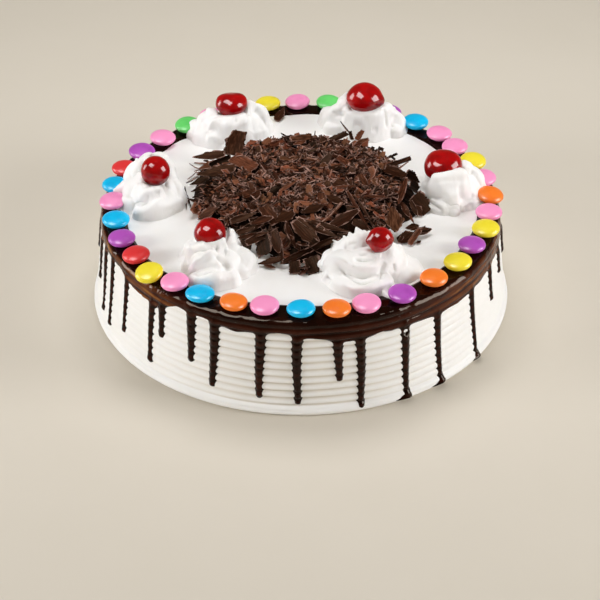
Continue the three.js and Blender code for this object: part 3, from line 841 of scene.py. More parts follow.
# %% Six rosettes
ROSETTES = [
    # rosette 1
    ([
        [(-46.0, 67.3, 3, 9), (-28.7, 71.3, 3, 9.5)],
        [(-53.9, 69.4, 3, 5.2), (-50.7, 69.8, 7, 6), (-46.8, 67.3, 11.5, 4.2)],
        [(-46.2, 66.8, 13, 3.4), (-48.0, 67.6, 15.2, 1.6)],
        [(-51.0, 62.2, 3, 5), (-45.2, 59.4, 3.2, 5), (-39.5, 60.5, 3.4, 4.5)],
        [(-45.7, 65.2, 8.5, 5.5), (-38.3, 62.3, 9, 6), (-31.6, 64.7, 10, 5.5)],
        [(-24.0, 71.3, 3, 7), (-22.9, 73.5, 8.4, 6.4), (-26.0, 72.7, 14, 4.2)],
        [(-36.2, 77.6, 6, 8), (-34.1, 80.1, 7, 8)],
        [(-56.1, 71.8, 4.6, 2.4), (-58.8, 69.8, 5.2, 1)],
        [(-56.4, 65.6, 2.8, 2.8), (-58.5, 66.2, 3.4, 1.2)],
        [(-33.8, 67.0, 5, 5), (-26.5, 66.2, 2.4, 5), (-21.3, 68.9, 2, 4.5)],
    ], [
        ([(-46.0, 59.5), (-42.4, 57.1)], -0.5, 3.4, 3.4),
        ([(-35.0, 59.6), (-32.0, 59.4)], -0.7, 1.8, 1.8),
        ([(-49.2, 58.7), (-49.7, 55.6)], -0.7, 1.4, 1.4),
        ([(-28.0, 68.7), (-26.4, 62.9), (-26.9, 60.4)], -0.5, 1.6, 1.6),
        ([(-41.3, 60.6), (-45.5, 60.6), (-48.7, 59.1)], 1, 2.5, 1.2),
        ([(-48.1, 55.1), (-42.9, 54.5), (-37.7, 54.8)], -0.8, 1, 1),
    ]),
    # rosette 2
    ([
        [(-77.2, 2.4, 3, 9.5), (-68.8, 4.2, 3, 9.5)],
        [(-85.0, -1.9, 2.8, 5), (-82.4, 4.2, 6, 6.3), (-79.6, 6.2, 10, 5)],
        [(-84.4, 17.9, 7.4, 3), (-82.2, 16.8, 12, 2.8), (-80.0, 16.4, 16, 2)],
        [(-80.5, 16.1, 15.6, 1.9), (-77.2, 20.7, 16.6, 1.6), (-72.2, 21.6, 17, 1.5),
         (-67.5, 18.3, 16.6, 1.8), (-64.9, 13.3, 14.4, 2.2), (-64.7, 8.3, 11.6, 3)],
        [(-66.9, 8.7, 8.4, 5), (-64.2, 4.5, 5.8, 6.2), (-65.6, 0.2, 3.2, 6)],
        [(-78.6, -8.7, 2.2, 4.4), (-71.2, -6.5, 3.4, 5.4), (-63.6, -0.4, 3, 5)],
        [(-78.6, -0.6, 12, 2), (-74.9, -4.8, 12, 2.2), (-70.0, -4.3, 12, 2.1)],
        [(-85.2, 9.0, 6.4, 4.4), (-88.8, 8.2, 5.8, 3), (-92.8, 7.0, 4.8, 1)],
        [(-86.4, 0.0, 3, 3.4), (-90.4, -3.6, 1.6, 1.1)],
        [(-82.6, 20.4, 12.2, 1.7), (-84.8, 20.4, 10, 2.2), (-86.4, 18.2, 7.6, 2.6), (-86.8, 14, 5.4, 3)],
        [(-85.2, 19.0, 8, 2), (-87.5, 21.4, 8.4, 0.9)],
        [(-80.6, 17.4, 13.8, 1.8), (-82.6, 21.6, 13.8, 0.8)],
        [(-81.4, 5.2, 3, 4.2), (-85.2, 0.9, 1.6, 4.2), (-88.3, -1.3, 0.4, 2.6)],
    ], [
        ([(-74.3, -7.7), (-77.9, -9.0), (-83.6, -7.3)], -1.1, 1, 1),
        ([(-74.8, -7.2), (-79.5, -6.1), (-85.1, -7.2)], 1.1, 0.9, 4),
        ([(-77.4, -3.6), (-74.3, -5.0)], -0.6, 1.8, 1.8),
        ([(-72.8, -7.1), (-68.5, -6.1)], -0.8, 0.8, 0.8),
        ([(-67.4, 3.4), (-66.8, 0.8), (-64.8, -0.7)], -1.1, 0.8, 0.8),
        ([(-64.0, 5.5), (-61.0, 0.4), (-59.9, -2.5)], -1, 1.8, 1.8),
        ([(-68.0, -6.4), (-73.3, -10.9), (-79.2, -12.9)], 0.8, 2.5, 2.5),
        ([(-82.3, 2.6), (-84.2, -0.7), (-85.5, -5.0)], -0.7, 1.2, 1.2),
    ]),
    # rosette 3
    ([
        [(-43.4, -56.4, 3, 9), (-36.6, -57.8, 2.6, 8.6)],
        [(-29.4, -50.6, 4, 5), (-26.8, -54.4, 2.6, 6), (-29.0, -59.4, 1, 5.2)],
        [(-34.4, -48.6, 4.4, 4.6), (-34.0, -48.9, 10.4, 4), (-34.2, -48.5, 15, 3.3)],
        [(-49.5, -68.2, 1.8, 4.2), (-41.4, -68.3, 3, 5.6), (-33.6, -66.6, 1.8, 5)],
        [(-52.4, -55.5, 3.6, 3.6), (-46.0, -56.1, 8.4, 4.4), (-40.2, -55.5, 11.4, 4)],
        [(-52.0, -55.0, 11.2, 2), (-46.0, -56.2, 13.8, 2.2), (-41.0, -56.0, 14.8, 2.2),
         (-37.4, -54.6, 15.4, 1.9)],
        [(-49.4, -44.3, 8, 4.2), (-51.6, -44.9, 4, 5)],
        [(-54.0, -43.0, -7, 9), (-50.6, -50.4, -5.5, 9.5), (-49.0, -57.1, -6, 9)],
        [(-37.4, -58.5, 6, 3.2), (-32.2, -57.6, 5.4, 3.6)],
        [(-45.4, -59.9, 7, 5), (-40.1, -61.6, 7, 5)],
    ], [
        ([(-54.5, -60.4), (-49.5, -63.1), (-44.7, -62.8), (-41.4, -61.5), (-39.1, -59.0)], 2.4, 6, 0.9),
        ([(-52.2, -67.7), (-45.0, -70.1), (-37.1, -66.9), (-32.9, -65.8)], -1.2, 1.2, 0.9),
        ([(-41.4, -61.2), (-37.6, -63.6), (-32.4, -65.5)], -1.8, 1.2, 1.2),
        ([(-52.5, -56.5), (-45.7, -60.0), (-41.5, -59.1)], -1, 0.9, 0.9),
        ([(-52.0, -59.4), (-48.5, -62.1), (-45.2, -62.7)], -0.7, 0.8, 0.8),
        ([(-39.1, -57.9), (-40.8, -59.8)], -1.4, 0.9, 0.9),
        ([(-35.7, -55.9), (-35.1, -60.3)], -1.3, 0.9, 0.9),
        ([(-51.2, -69.8), (-44.0, -71.6), (-37.1, -68.9)], 0.8, 1, 4),
    ]),
    # rosette 4
    ([
        [(20.9, -61.0, 3, 9.5), (33.7, -59.3, 3, 10.5), (42.4, -55.4, 2.6, 8)],
        [(14.8, -53.2, 4, 5), (19.6, -52.6, 8.2, 5.8), (25.7, -52.3, 12, 5.4), (30.9, -50.2, 14, 4)],
        [(17.7, -47.8, 8.4, 2.4), (15.4, -44.7, 9.2, 0.8)],
        [(21.5, -48.4, 10.8, 2.2), (20.6, -45.2, 11.4, 0.8)],
        [(24.3, -48.4, 12.8, 2.2), (23.3, -45.3, 13.4, 0.8)],
        [(27.7, -46.6, 14.2, 2.4), (26.6, -43.6, 15.2, 0.8)],
        [(12.4, -54.8, 2.8, 2), (9.5, -53.7, 2.6, 0.8)],
        [(25.1, -60.8, 10.6, 2), (30.7, -61.2, 12, 2.4), (36.3, -61.6, 11.4, 2)],
        [(10.5, -55.6, 2.2, 2.8), (17.2, -55.5, 5, 3.8), (23.2, -60.4, 6.6, 4.2), (29.8, -63.2, 6.8, 4.2),
         (36.9, -62.1, 6.6, 4.4)],
        [(14.2, -65.6, 1.6, 4.2), (21.6, -73.3, 2.4, 4.8), (29.5, -75.8, 2.4, 4.6), (39.1, -70.3, 2, 4.8)],
        [(41.3, -55.5, 8.4, 5.6), (44.1, -58.7, 4.6, 6.2), (48.5, -61.0, -4, 8)],
        [(43.2, -53.4, 11, 3.2), (45.7, -52.6, 7.6, 4)],
        [(39.0, -72.5, 1.2, 3.2), (39.8, -77.3, 0.6, 2.2), (42.0, -80.9, 0.3, 1.1)],
        [(49.3, -51.0, -5, 9), (52.8, -58.0, -6.5, 9)],
    ], [
        ([(10.0, -57.6), (13.7, -62.0), (17.9, -64.8), (23.0, -67.5), (29.6, -68.5),
         (37.1, -67.2)], 2.3, 5, 0.9),
        ([(17.4, -67.5), (21.1, -70.3), (24.8, -75.3), (28.0, -77.5), (32.2, -75.9),
         (37.0, -72.9)], -1.3, 0.9, 0.7),
        ([(26.4, -63.2), (32.0, -63.6)], -0.9, 0.7, 0.7),
        ([(24.5, -65.5), (28.7, -66.2), (34.8, -65.7)], -1.6, 0.9, 0.9),
        ([(24.9, -67.6), (28.7, -68.2), (34.3, -67.6)], 0.6, 1, 1),
        ([(11.8, -67.6), (14.1, -71.6)], -1.5, 0.9, 0.9),
        ([(40.0, -64.0), (37.6, -68.3), (37.0, -74.6)], -1.1, 1.5, 1.5),
        ([(43.9, -62.6), (44.4, -65.0)], -1, 0.9, 0.9),
        ([(20.4, -56.6), (28.4, -56.9)], -0.9, 1.8, 1.8),
        ([(18.3, -75.2), (23.8, -78.9), (30.3, -79.4)], 0.5, 1.2, 2),
    ]),
    # rosette 5
    ([
        [(72.7, 6.6, 3, 9.5), (81.4, 9.4, 3, 9.5)],
        [(85.3, 8.4, 3, 6), (86.3, 10.8, 7.4, 6), (84.2, 12.5, 11.4, 5), (81.1, 13.5, 14.6, 3.3)],
        [(67.5, 2.3, 14.6, 3), (72.9, 2.0, 15.6, 3.4), (79.0, 3.4, 15.6, 3.6)],
        [(68.2, 2.4, 11, 4.4), (73.0, 1.4, 11.6, 4.8), (79.1, 3.3, 11, 5)],
        [(64.1, 7.8, 6.4, 4), (69.3, 3.1, 7.6, 5), (75.7, 2.2, 7.6, 5.4)],
        [(60.6, 6.4, 2.0, 3.2), (64.4, -0.4, 1.6, 4.4), (69.8, -5.2, 1.2, 4.4), (75.1, -6.6, 0.4, 3.0)],
        [(73.4, 0.6, 7.4, 4.6), (74.6, -3.6, 3.4, 4.6), (75.4, -7.0, 0.2, 3.6)],
        [(66.2, 3.4, 6.4, 4.4), (62.4, 1.4, 2.4, 4.2), (59.6, 2.4, 0.2, 3.0)],
        [(80.8, 3.4, 7.4, 3.6), (86.0, 4.1, 4, 4.4), (88.6, 4.7, 2.4, 3.4)],
        [(79.6, -3.5, 1.2, 2.6), (83.7, -1.2, 1.8, 3.2), (88.4, 1.5, 1.8, 2.8)],
        [(61.4, 10.7, 2.8, 1.6), (58.4, 11.6, 3.4, 0.9)],
        [(59.5, 19.3, 1.8, 0.8), (56.3, 29.8, 0.9, 0.7)],
        [(64.8, 11.8, 8.6, 2.8), (67.4, 5.8, 10, 3.4)],
        [(61.9, 21.4, -6, 8.5), (64.1, 13.8, -4.6, 9), (65.6, 6.4, -5, 9)],
    ], [
        ([(76.8, -2.6), (77.0, -4.6), (77.2, -8.3)], 1.5, 0.8, 5),
        ([(63.1, -1.9), (67.9, -3.8), (73.3, -4.7)], -0.9, 0.8, 0.8),
        ([(59.4, 2.4), (62.6, -2.6), (65.9, -6.5), (70.3, -10.0)], -1.6, 0.9, 0.9),
        ([(80.9, -5.8), (83.5, -4.7), (86.1, -3.7)], -1.2, 1.2, 1.2),
        ([(77.3, -3.3), (81.9, -3.2), (86.1, -1.0)], -0.7, 1.5, 1.5),
        ([(66.4, 1.7), (69.3, -2.4), (73.3, -4.3), (76.3, -6.7)], 0.7, 2.5, 2),
    ]),
    # rosette 6
    ([
        [(26.1, 76.3, 3, 9), (39.3, 76.3, 3, 10), (46.7, 76.9, 2.6, 7.6)],
        [(15.0, 81.2, 3.8, 5.2), (19.2, 77.5, 8.4, 5.8), (22.8, 78.6, 12.6, 4)],
        [(22.3, 79.0, 13, 3.2), (23.1, 81.1, 14.6, 2.2), (24.6, 84.6, 15, 1.4)],
        [(16.0, 71.9, 2, 3.8), (23.3, 71.2, 2.4, 4), (29.7, 71.9, 3.8, 4.2)],
        [(26.4, 72.7, 10, 4.8), (33.1, 68.6, 10.6, 5.2), (40.5, 71.0, 11.6, 5.2), (44.8, 74.9, 11.4, 4)],
        [(48.1, 74.0, 7.4, 5.4), (50.2, 72.8, 3.8, 5.6), (49.6, 69.4, 1.6, 4.4)],
        [(33.8, 69.1, 3, 4.6), (41.1, 68.4, 2.8, 4.8)],
        [(26.5, 70.5, 3.4, 2), (31.2, 69.8, 2, 2)],
        [(13.5, 84.0, 4.6, 2.2), (12.2, 86.7, 5.2, 1)],
        [(16.4, 77.6, 3.8, 5.4), (20.4, 75.6, 6.4, 5.4), (24.6, 75.4, 8, 5)],
    ], [
        ([(15.4, 73.6), (19.6, 71.6), (24.3, 69.8)], -1.0, 2.0, 2.0),
        ([(27.6, 64.8), (31.2, 62.7)], -0.8, 1.2, 1.2),
        ([(43.8, 69.5), (44.6, 67.1), (45.0, 65.4)], -0.9, 0.9, 0.9),
        ([(46.8, 70.6), (48.2, 66.9)], -0.8, 0.9, 0.9),
        ([(36.7, 62.2), (40.4, 63.2)], -0.6, 1.0, 1.0),
        ([(25.1, 73.9), (27.3, 69.1)], -0.9, 0.8, 0.8),
        ([(32.0, 63.6), (35.6, 63.5)], -0.6, 2, 1),
    ]),
]
for number, (folds, creases) in enumerate(ROSETTES, 1):
    rosette(f"rosette_{number}", folds, creases)

# %% [markdown]
# ## Glace cherries
# A pitted cherry soaked in red syrup: the skin is taut and wet, and the flesh has shrunk
# unevenly, so none is a true ball. Each is a sphere whose radius changes by a few bumps, dents
# and ripples.

# %% Cherry finish
SHADE_LOW, SHADE_HIGH = 0.061, 0.070  # m: heights between which a cherry turns from dark to light


def syrup_cherry():
    """Candied cherry: deep red, clear syrup skin with a near-mirror gloss."""
    tree, place, close = new_finish("syrup_cherry")
    flesh = lumps(tree, place, 0.006, 4.0)
    pucker = lumps(tree, place, 0.005, 2.0)
    height = add(tree, "SeparateXYZ", {"Vector": place}).outputs["Z"]
    # Painted shade: each cherry's red darkens towards its bottom.
    light = remap(tree, height, (SHADE_LOW, SHADE_HIGH), (-0.35, 0.1))
    depth = sums(tree, "ADD", flesh, light)
    return close(add(tree, "BsdfPrincipled", {
        "Base Color": shades(tree, depth, "#320002", "#740004", "#a80005", "#bc0006"),
        "Roughness": 0.3,
        "IOR": 1.46,
        "Specular IOR Level": 0.05,
        "Subsurface Weight": 0.1,
        "Subsurface Radius": (1.0, 0.1, 0.05),
        "Subsurface Scale": 0.002,
        "Coat Weight": 0.72,
        "Coat Roughness": 0.03,
        "Normal": bumped(tree, pucker, 0.35, 0.0004),
    }))


CHERRY = syrup_cherry()

# %% Six cherries
# For each cherry: direction, size and width of its bumps (positive) and dents (negative).
BUMPS = [
    [((0, 0.4, 0.9), -0.17, 0.5), ((-0.85, 0.2, 0.5), 0.06, 0.35), ((0.85, 0.2, 0.5), 0.06, 0.35),
     ((-0.75, -0.2, -0.65), -0.13, 0.4), ((0.75, -0.2, -0.65), -0.13, 0.4)],
    [((-0.5, -0.7, -0.5), -0.08, 0.3), ((0.2, 0, 1), -0.05, 0.5)],
    [((0.3, 0, 1), -0.05, 0.5)],
    [((-0.95, -0.2, 0), 0.16, 0.25), ((0.9, -0.2, 0.1), 0.08, 0.25),
     ((0.6, -0.7, -0.5), -0.14, 0.35), ((-0.4, -0.7, -0.6), 0.1, 0.3)],
    [((0.6, 0, 0.8), 0.05, 0.5), ((-0.75, -0.5, -0.5), 0.12, 0.4),
     ((-0.1, -0.5, 0.85), -0.06, 0.3), ((0.3, -0.6, -0.7), -0.16, 0.5)],
    [((0.95, -0.2, -0.1), 0.13, 0.35), ((-0.3, 0, 1), 0.03, 0.6)],
]


def cherry(number, bumps):
    """A sphere stretched to the node's box, with bells added to its radius."""
    low, high = (np.array(corner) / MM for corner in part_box(f"cherry_{number}"))
    latitude, turn = globe(42, 64)
    ball = polar(turn, np.cos(latitude), np.sin(latitude))
    swell = 0.02 * ripple(ball, 1.1, 60 + number) + 0.01
    for direction, size, width in bumps:
        swell = swell + size * bell(np.linalg.norm(ball - unit(np.array(direction)), axis=-1), width)
    points, faces = capped((low + high) / 2 + ball * (1 + swell[..., None]) * (high - low) / 2)
    mesh = mesh_from(f"glace_cherry_{number}", points, facing_out(points, faces))
    return piece(mesh, CHERRY, "glace_cherry", [f"cherry_{number}"])


for number, bumps in enumerate(BUMPS, 1):
    cherry(number, bumps)

# %% [markdown]
# ## The heap of shavings
# Dark chocolate is scraped from a block: the knife lifts flat flakes, curls and a lot of
# splinters. The heap is a dark lumpy core that nobody sees through the gaps, covered by loose
# flakes at true size. A flake is a thin card whose outline narrows and frays, bent along its
# length and cupped across it. Thousands are computed at once as one array.

# %% Outline and height of the heap
HEAP_CENTRE = np.array([2.0, 2.0])
HEAP_HEIGHT = 9.5
SHOULDER, ROUNDING = 3.5, 0.9  # powers: flat for long, then down steeply to the outline
LOW_FROM, LOW_RUN, LOW_BY = -22, 22, 0.5  # y, mm and share by which the front slopes down
HEAP_OUTLINE = [
    (-55, 36), (-58, 12), (-55, -9), (-45, -21), (-25, -36), (-18, -50), (-4, -62), (9, -60),
    (19, -38), (42, -27), (62, -10), (60, 17), (50, 35), (32, 56), (4, 63), (-28, 54),
]
edge = smooth_path([*HEAP_OUTLINE, HEAP_OUTLINE[0]], 240)[:-1] - HEAP_CENTRE
edge_bearing = np.degrees(np.arctan2(edge[:, 1], edge[:, 0]))
edge_distance = np.hypot(edge[:, 0], edge[:, 1])
print("the heap reaches", edge_distance.min().round(), "to", edge_distance.max().round(), "mm out")


def heap_share(x, y):
    """0 in the middle of the heap and 1 on its outline."""
    out_x, out_y = x - HEAP_CENTRE[0], y - HEAP_CENTRE[1]
    bearing = np.degrees(np.arctan2(out_y, out_x))
    return np.hypot(out_x, out_y) / between(bearing, edge_bearing, edge_distance)


def heap_height(x, y):
    """Height over the cream: flat in the middle, steep at the outline, lower at the front."""
    share = np.clip(heap_share(x, y), 0, 1)
    front = np.clip((LOW_FROM - y) / LOW_RUN, 0, 1)
    return HEAP_HEIGHT * (1 - share**SHOULDER) ** ROUNDING * (1 - LOW_BY * front)


# %% [markdown]
# ### Flakes
# A flake comes off the knife as a slightly curled chip with torn ends. One could be modelled
# and copied, but copies look alike. Here a small grid of numbers from -1 to 1 is laid along and
# across each flake, and the same few formulas narrow, fray, bend and cup all of them at once,
# each by its own amounts.

# %% Flakes as arrays
NEARLY_FLAT = 0.02  # radians: a flatter card is bent by this, because the formulas divide by it
END_RIM, SIDE_RIM = 0.1, 0.22  # share of half a card that is its thinner rim
RIM_THICK = 0.32  # half the thickness at the rim, as a share of the whole; elsewhere it is 0.5
STREAK = (0.25, 1.6, 1.0)  # streaks are long along a flake and fine across it
# How a flake narrows at its ends, as (width left at the very end, length of the run from there
# to full width) for its tail left, tail right, head left and head right. 1 is half the flake.
CUTS = {
    "square": [(0.9, 0.2), (0.85, 0.3), (0.85, 0.2), (0.9, 0.3)],
    "point": [(0.7, 0.5), (0.6, 0.6), (0.05, 1.1), (0.1, 0.9)],
    "spear": [(0.15, 0.8), (0.3, 0.6), (0.05, 1.3), (0.05, 1.0)],
    "slant": [(0.9, 0.2), (0.9, 0.2), (0.3, 0.9), (0.95, 0.1)],
    "leaf": [(0.1, 1.0), (0.2, 0.8), (0.1, 0.8), (0.3, 0.7)],
}


def stations(count, rim):
    """Grid lines from -1 to 1. From three spaces up, the outer ones are a narrow rim."""
    lines = np.linspace(-1, 1, count + 1)
    if count > 2:
        lines[[1, -2]] = -1 + rim, 1 - rim
    return lines


def card_faces(columns, rows):
    """Quads of a closed card of little thickness: top and bottom grid in one group, the rim in another."""
    top = grid_quads(columns + 1, rows + 1, ring=False)
    count = (columns + 1) * (rows + 1)
    return [np.concatenate([top, top[:, ::-1] + count]), rim_quads(top, count)]


def narrowed(cut, from_end):
    """Share of the full width at a distance from an end, on the left and on the right."""
    at_end, run = cut[..., 0, None], cut[..., 1, None]
    return at_end + (1 - at_end) * np.clip(from_end / run, 0, 1)


def flakes(ends, cut, curl, cup, thickness, columns, rows, seed, fray=0.12):
    """Cards from their start to their end. Their outline narrows by the cut and is frayed at
    random. Each card bends by the angle curl along its length and by cup across it, and rolls
    about its length. Returns points, faces and the values that the finish reads."""
    start, end, width, roll = ends
    rng = np.random.default_rng(seed)
    count = len(start)
    u = stations(columns, END_RIM)[None, :, None]
    v = stations(rows, SIDE_RIM)[None, None, :]
    tail = narrowed(cut[:, :2], 1 + u[..., 0])
    head = narrowed(cut[:, 2:], 1 - u[..., 0])
    left, right = np.moveaxis(np.minimum(tail, head), 1, 0)[..., None]
    noise = rng.uniform(-1, 1, (count, columns + 1, rows + 1))
    across = v * np.where(v > 0, left, right) * (1 + fray * noise)
    length = np.linalg.norm(end - start, axis=1)[:, None, None]
    half = width[:, None, None] / 2
    bend = np.where(np.abs(curl) < NEARLY_FLAT, NEARLY_FLAT, curl)[:, None, None]
    arc = np.where(np.abs(cup) < NEARLY_FLAT, NEARLY_FLAT, cup)[:, None, None]
    angle = bend * (u + 0.5 * fray * noise * np.abs(u) ** 5) / 2
    forward = length * np.sin(angle) / bend
    aside = half * np.sin(arc * across) / arc
    rise = length * (1 - np.cos(angle)) / bend + half * (1 - np.cos(arc * across)) / arc
    rise = rise - half * arc / 6 + 0.05 * noise
    rim = (np.abs(u) > 0.999) | (np.abs(v) > 0.999)
    thick = thickness * np.where(rim, RIM_THICK, 0.5) * np.ones_like(noise)
    local = np.stack([
        np.stack([forward, aside, rise + thick * side], -1) for side in (1, -1)
    ], 1).reshape(count, -1, 3)
    along = unit(end - start)
    flat = unit(np.cross((0, 0, 1), along))
    up = np.cross(along, flat)
    cosine, sine = np.cos(roll)[:, None], np.sin(roll)[:, None]
    axes = np.stack([along, flat * cosine + up * sine, up * cosine - flat * sine], 1)
    points = np.einsum("npk,nkj->npj", local, axes) + ((start + end) / 2)[:, None, :]
    points[..., 2] = np.maximum(points[..., 2], TOP_HEIGHT + 0.1)
    each = local.shape[1]
    shift = np.arange(count)[:, None, None] * each
    faces = [(group[None] + shift).reshape(-1, 4) for group in card_faces(columns, rows)]
    tone, warm = np.repeat(rng.uniform(0, 1, (2, count)), each, axis=1)
    # The rims are marked for a paler colour: partly wear, partly painted highlight.
    rim_wear_and_highlight = np.broadcast_to(rim[:, None] * 1.0, (count, 2, columns + 1, rows + 1)).ravel()
    grain = local.reshape(-1, 3) * STREAK + 90 * tone[:, None]
    return points.reshape(-1, 3), faces, {"tone": tone, "warm": warm, "rim_wear_and_highlight": rim_wear_and_highlight, "grain": grain}


print("cuts of a flake's ends:", ", ".join(CUTS))


# %% [markdown]
# ### Shaved chocolate finish
# A freshly shaved face is dull and brown, with the streaks of the blade along it. Its broken rim
# and scuffed high spots are paler and a little pink, partly from wear and partly as painted
# highlight where edges catch the light, and the gaps are painted almost black, as shade. The
# value "tone" gives every flake its own shade, and the core and a few flakes in deep shade a
# near-black painted shade; "warm" gives its hue between olive grey and rust, one value marks
# its rim for the paler colour, and "grain" holds coordinates along and across it for the streaks.

# %% Shavings finish


def shaved_chocolate(name, dark, middle, light, rubbed_and_lit):
    """Dark chocolate, shaved: dull, streaked, with paler rims, partly from wear and partly painted
    highlight.
    """
    tree, place, close = new_finish(name)
    tone, warm, rim_wear_and_highlight = (carried(tree, key) for key in ("tone", "warm", "rim_wear_and_highlight"))
    streak = lumps(tree, carried(tree, "grain", "Vector"), 1.0, 4.0)
    speck = lumps(tree, place, 0.0012, 3.0)
    patch = lumps(tree, place, 0.004, 4.0)
    shade = sums(tree, "ADD", tone, remap(tree, streak, (0.25, 0.75), (-0.24, 0.24)))
    hue = add(tree, "MixRGB", {
        "blend_type": "MULTIPLY", "Fac": 1.0,
        "Color1": shades(tree, shade, dark, middle, light),
        "Color2": shades(tree, warm, "#e6eadc", "#f4e8e0", "#fcdad0"),
    })
    # Paler, pinker rims: partly wear, partly painted highlight.
    paler = sums(tree, "MULTIPLY", rim_wear_and_highlight, remap(tree, patch, (0.42, 0.62), (0.0, 0.85)))
    colour = add(tree, "MixRGB", {
        "Fac": paler, "Color1": hue.outputs["Color"], "Color2": linear(rubbed_and_lit),
    })
    scrape = bumped(tree, streak, 0.7, 0.0004)
    return close(add(tree, "BsdfPrincipled", {
        "Base Color": colour.outputs["Color"],
        "Roughness": 0.48,
        "IOR": 1.46,
        "Specular IOR Level": 0.14,
        "Specular Tint": linear("#ffcfa6"),
        "Normal": bumped(tree, speck, 0.5, 0.0002, Normal=scrape),
    }))


FLAKE = shaved_chocolate("shaved_chocolate", "#0d0402", "#381c10", "#8d5b45", "#c39c8e")

# %% [markdown]
# The core is a polar grid: rings of the outline drawn in towards the middle, raised to just
# under the flakes and roughened by ripples.

# %% Core of the heap
CORE_DROP = 2.2  # mm: the core lies this much lower than the flakes
CORE_FOOT, CORE_UNDER = -0.3, -0.6  # mm over the cream's top: its lowest ring and its underside


def heap_core(columns=200, rows=46):
    """Rings from the middle of the top to the outline, then back underneath."""
    bearing = np.linspace(0, 360, columns, endpoint=False)[None, :]
    share = np.linspace(0.02, 0.93, rows)[:, None]
    distance = share * between(bearing, edge_bearing, edge_distance)
    x = HEAP_CENTRE[0] + distance * np.cos(np.radians(bearing))
    y = HEAP_CENTRE[1] + distance * np.sin(np.radians(bearing))
    flat = np.stack([x, y, np.zeros_like(x)], -1)
    z = heap_height(x, y) - CORE_DROP + 0.8 * ripple(flat, 7, 71) + 0.4 * ripple(flat, 2.5, 72)
    z[-1] = CORE_FOOT
    skin = np.stack([x, y, TOP_HEIGHT + np.maximum(z, CORE_FOOT)], -1)
    under = skin[[-1, rows // 2, 0]] * (1, 1, 0) + (0, 0, TOP_HEIGHT + CORE_UNDER)
    return capped(np.concatenate([skin, under]))


points, faces = heap_core()
faces = facing_out(points, faces)
still = np.zeros(len(points))
# The core takes the darkest tone: painted shade for the gaps between the flakes.
values = {"tone": still + 0.05, "warm": still + 0.5, "rim_wear_and_highlight": still, "grain": points}
piece(mesh_from("shavings_core", points, faces, values), FLAKE, "dark_chocolate", ["chocolate_shavings"])
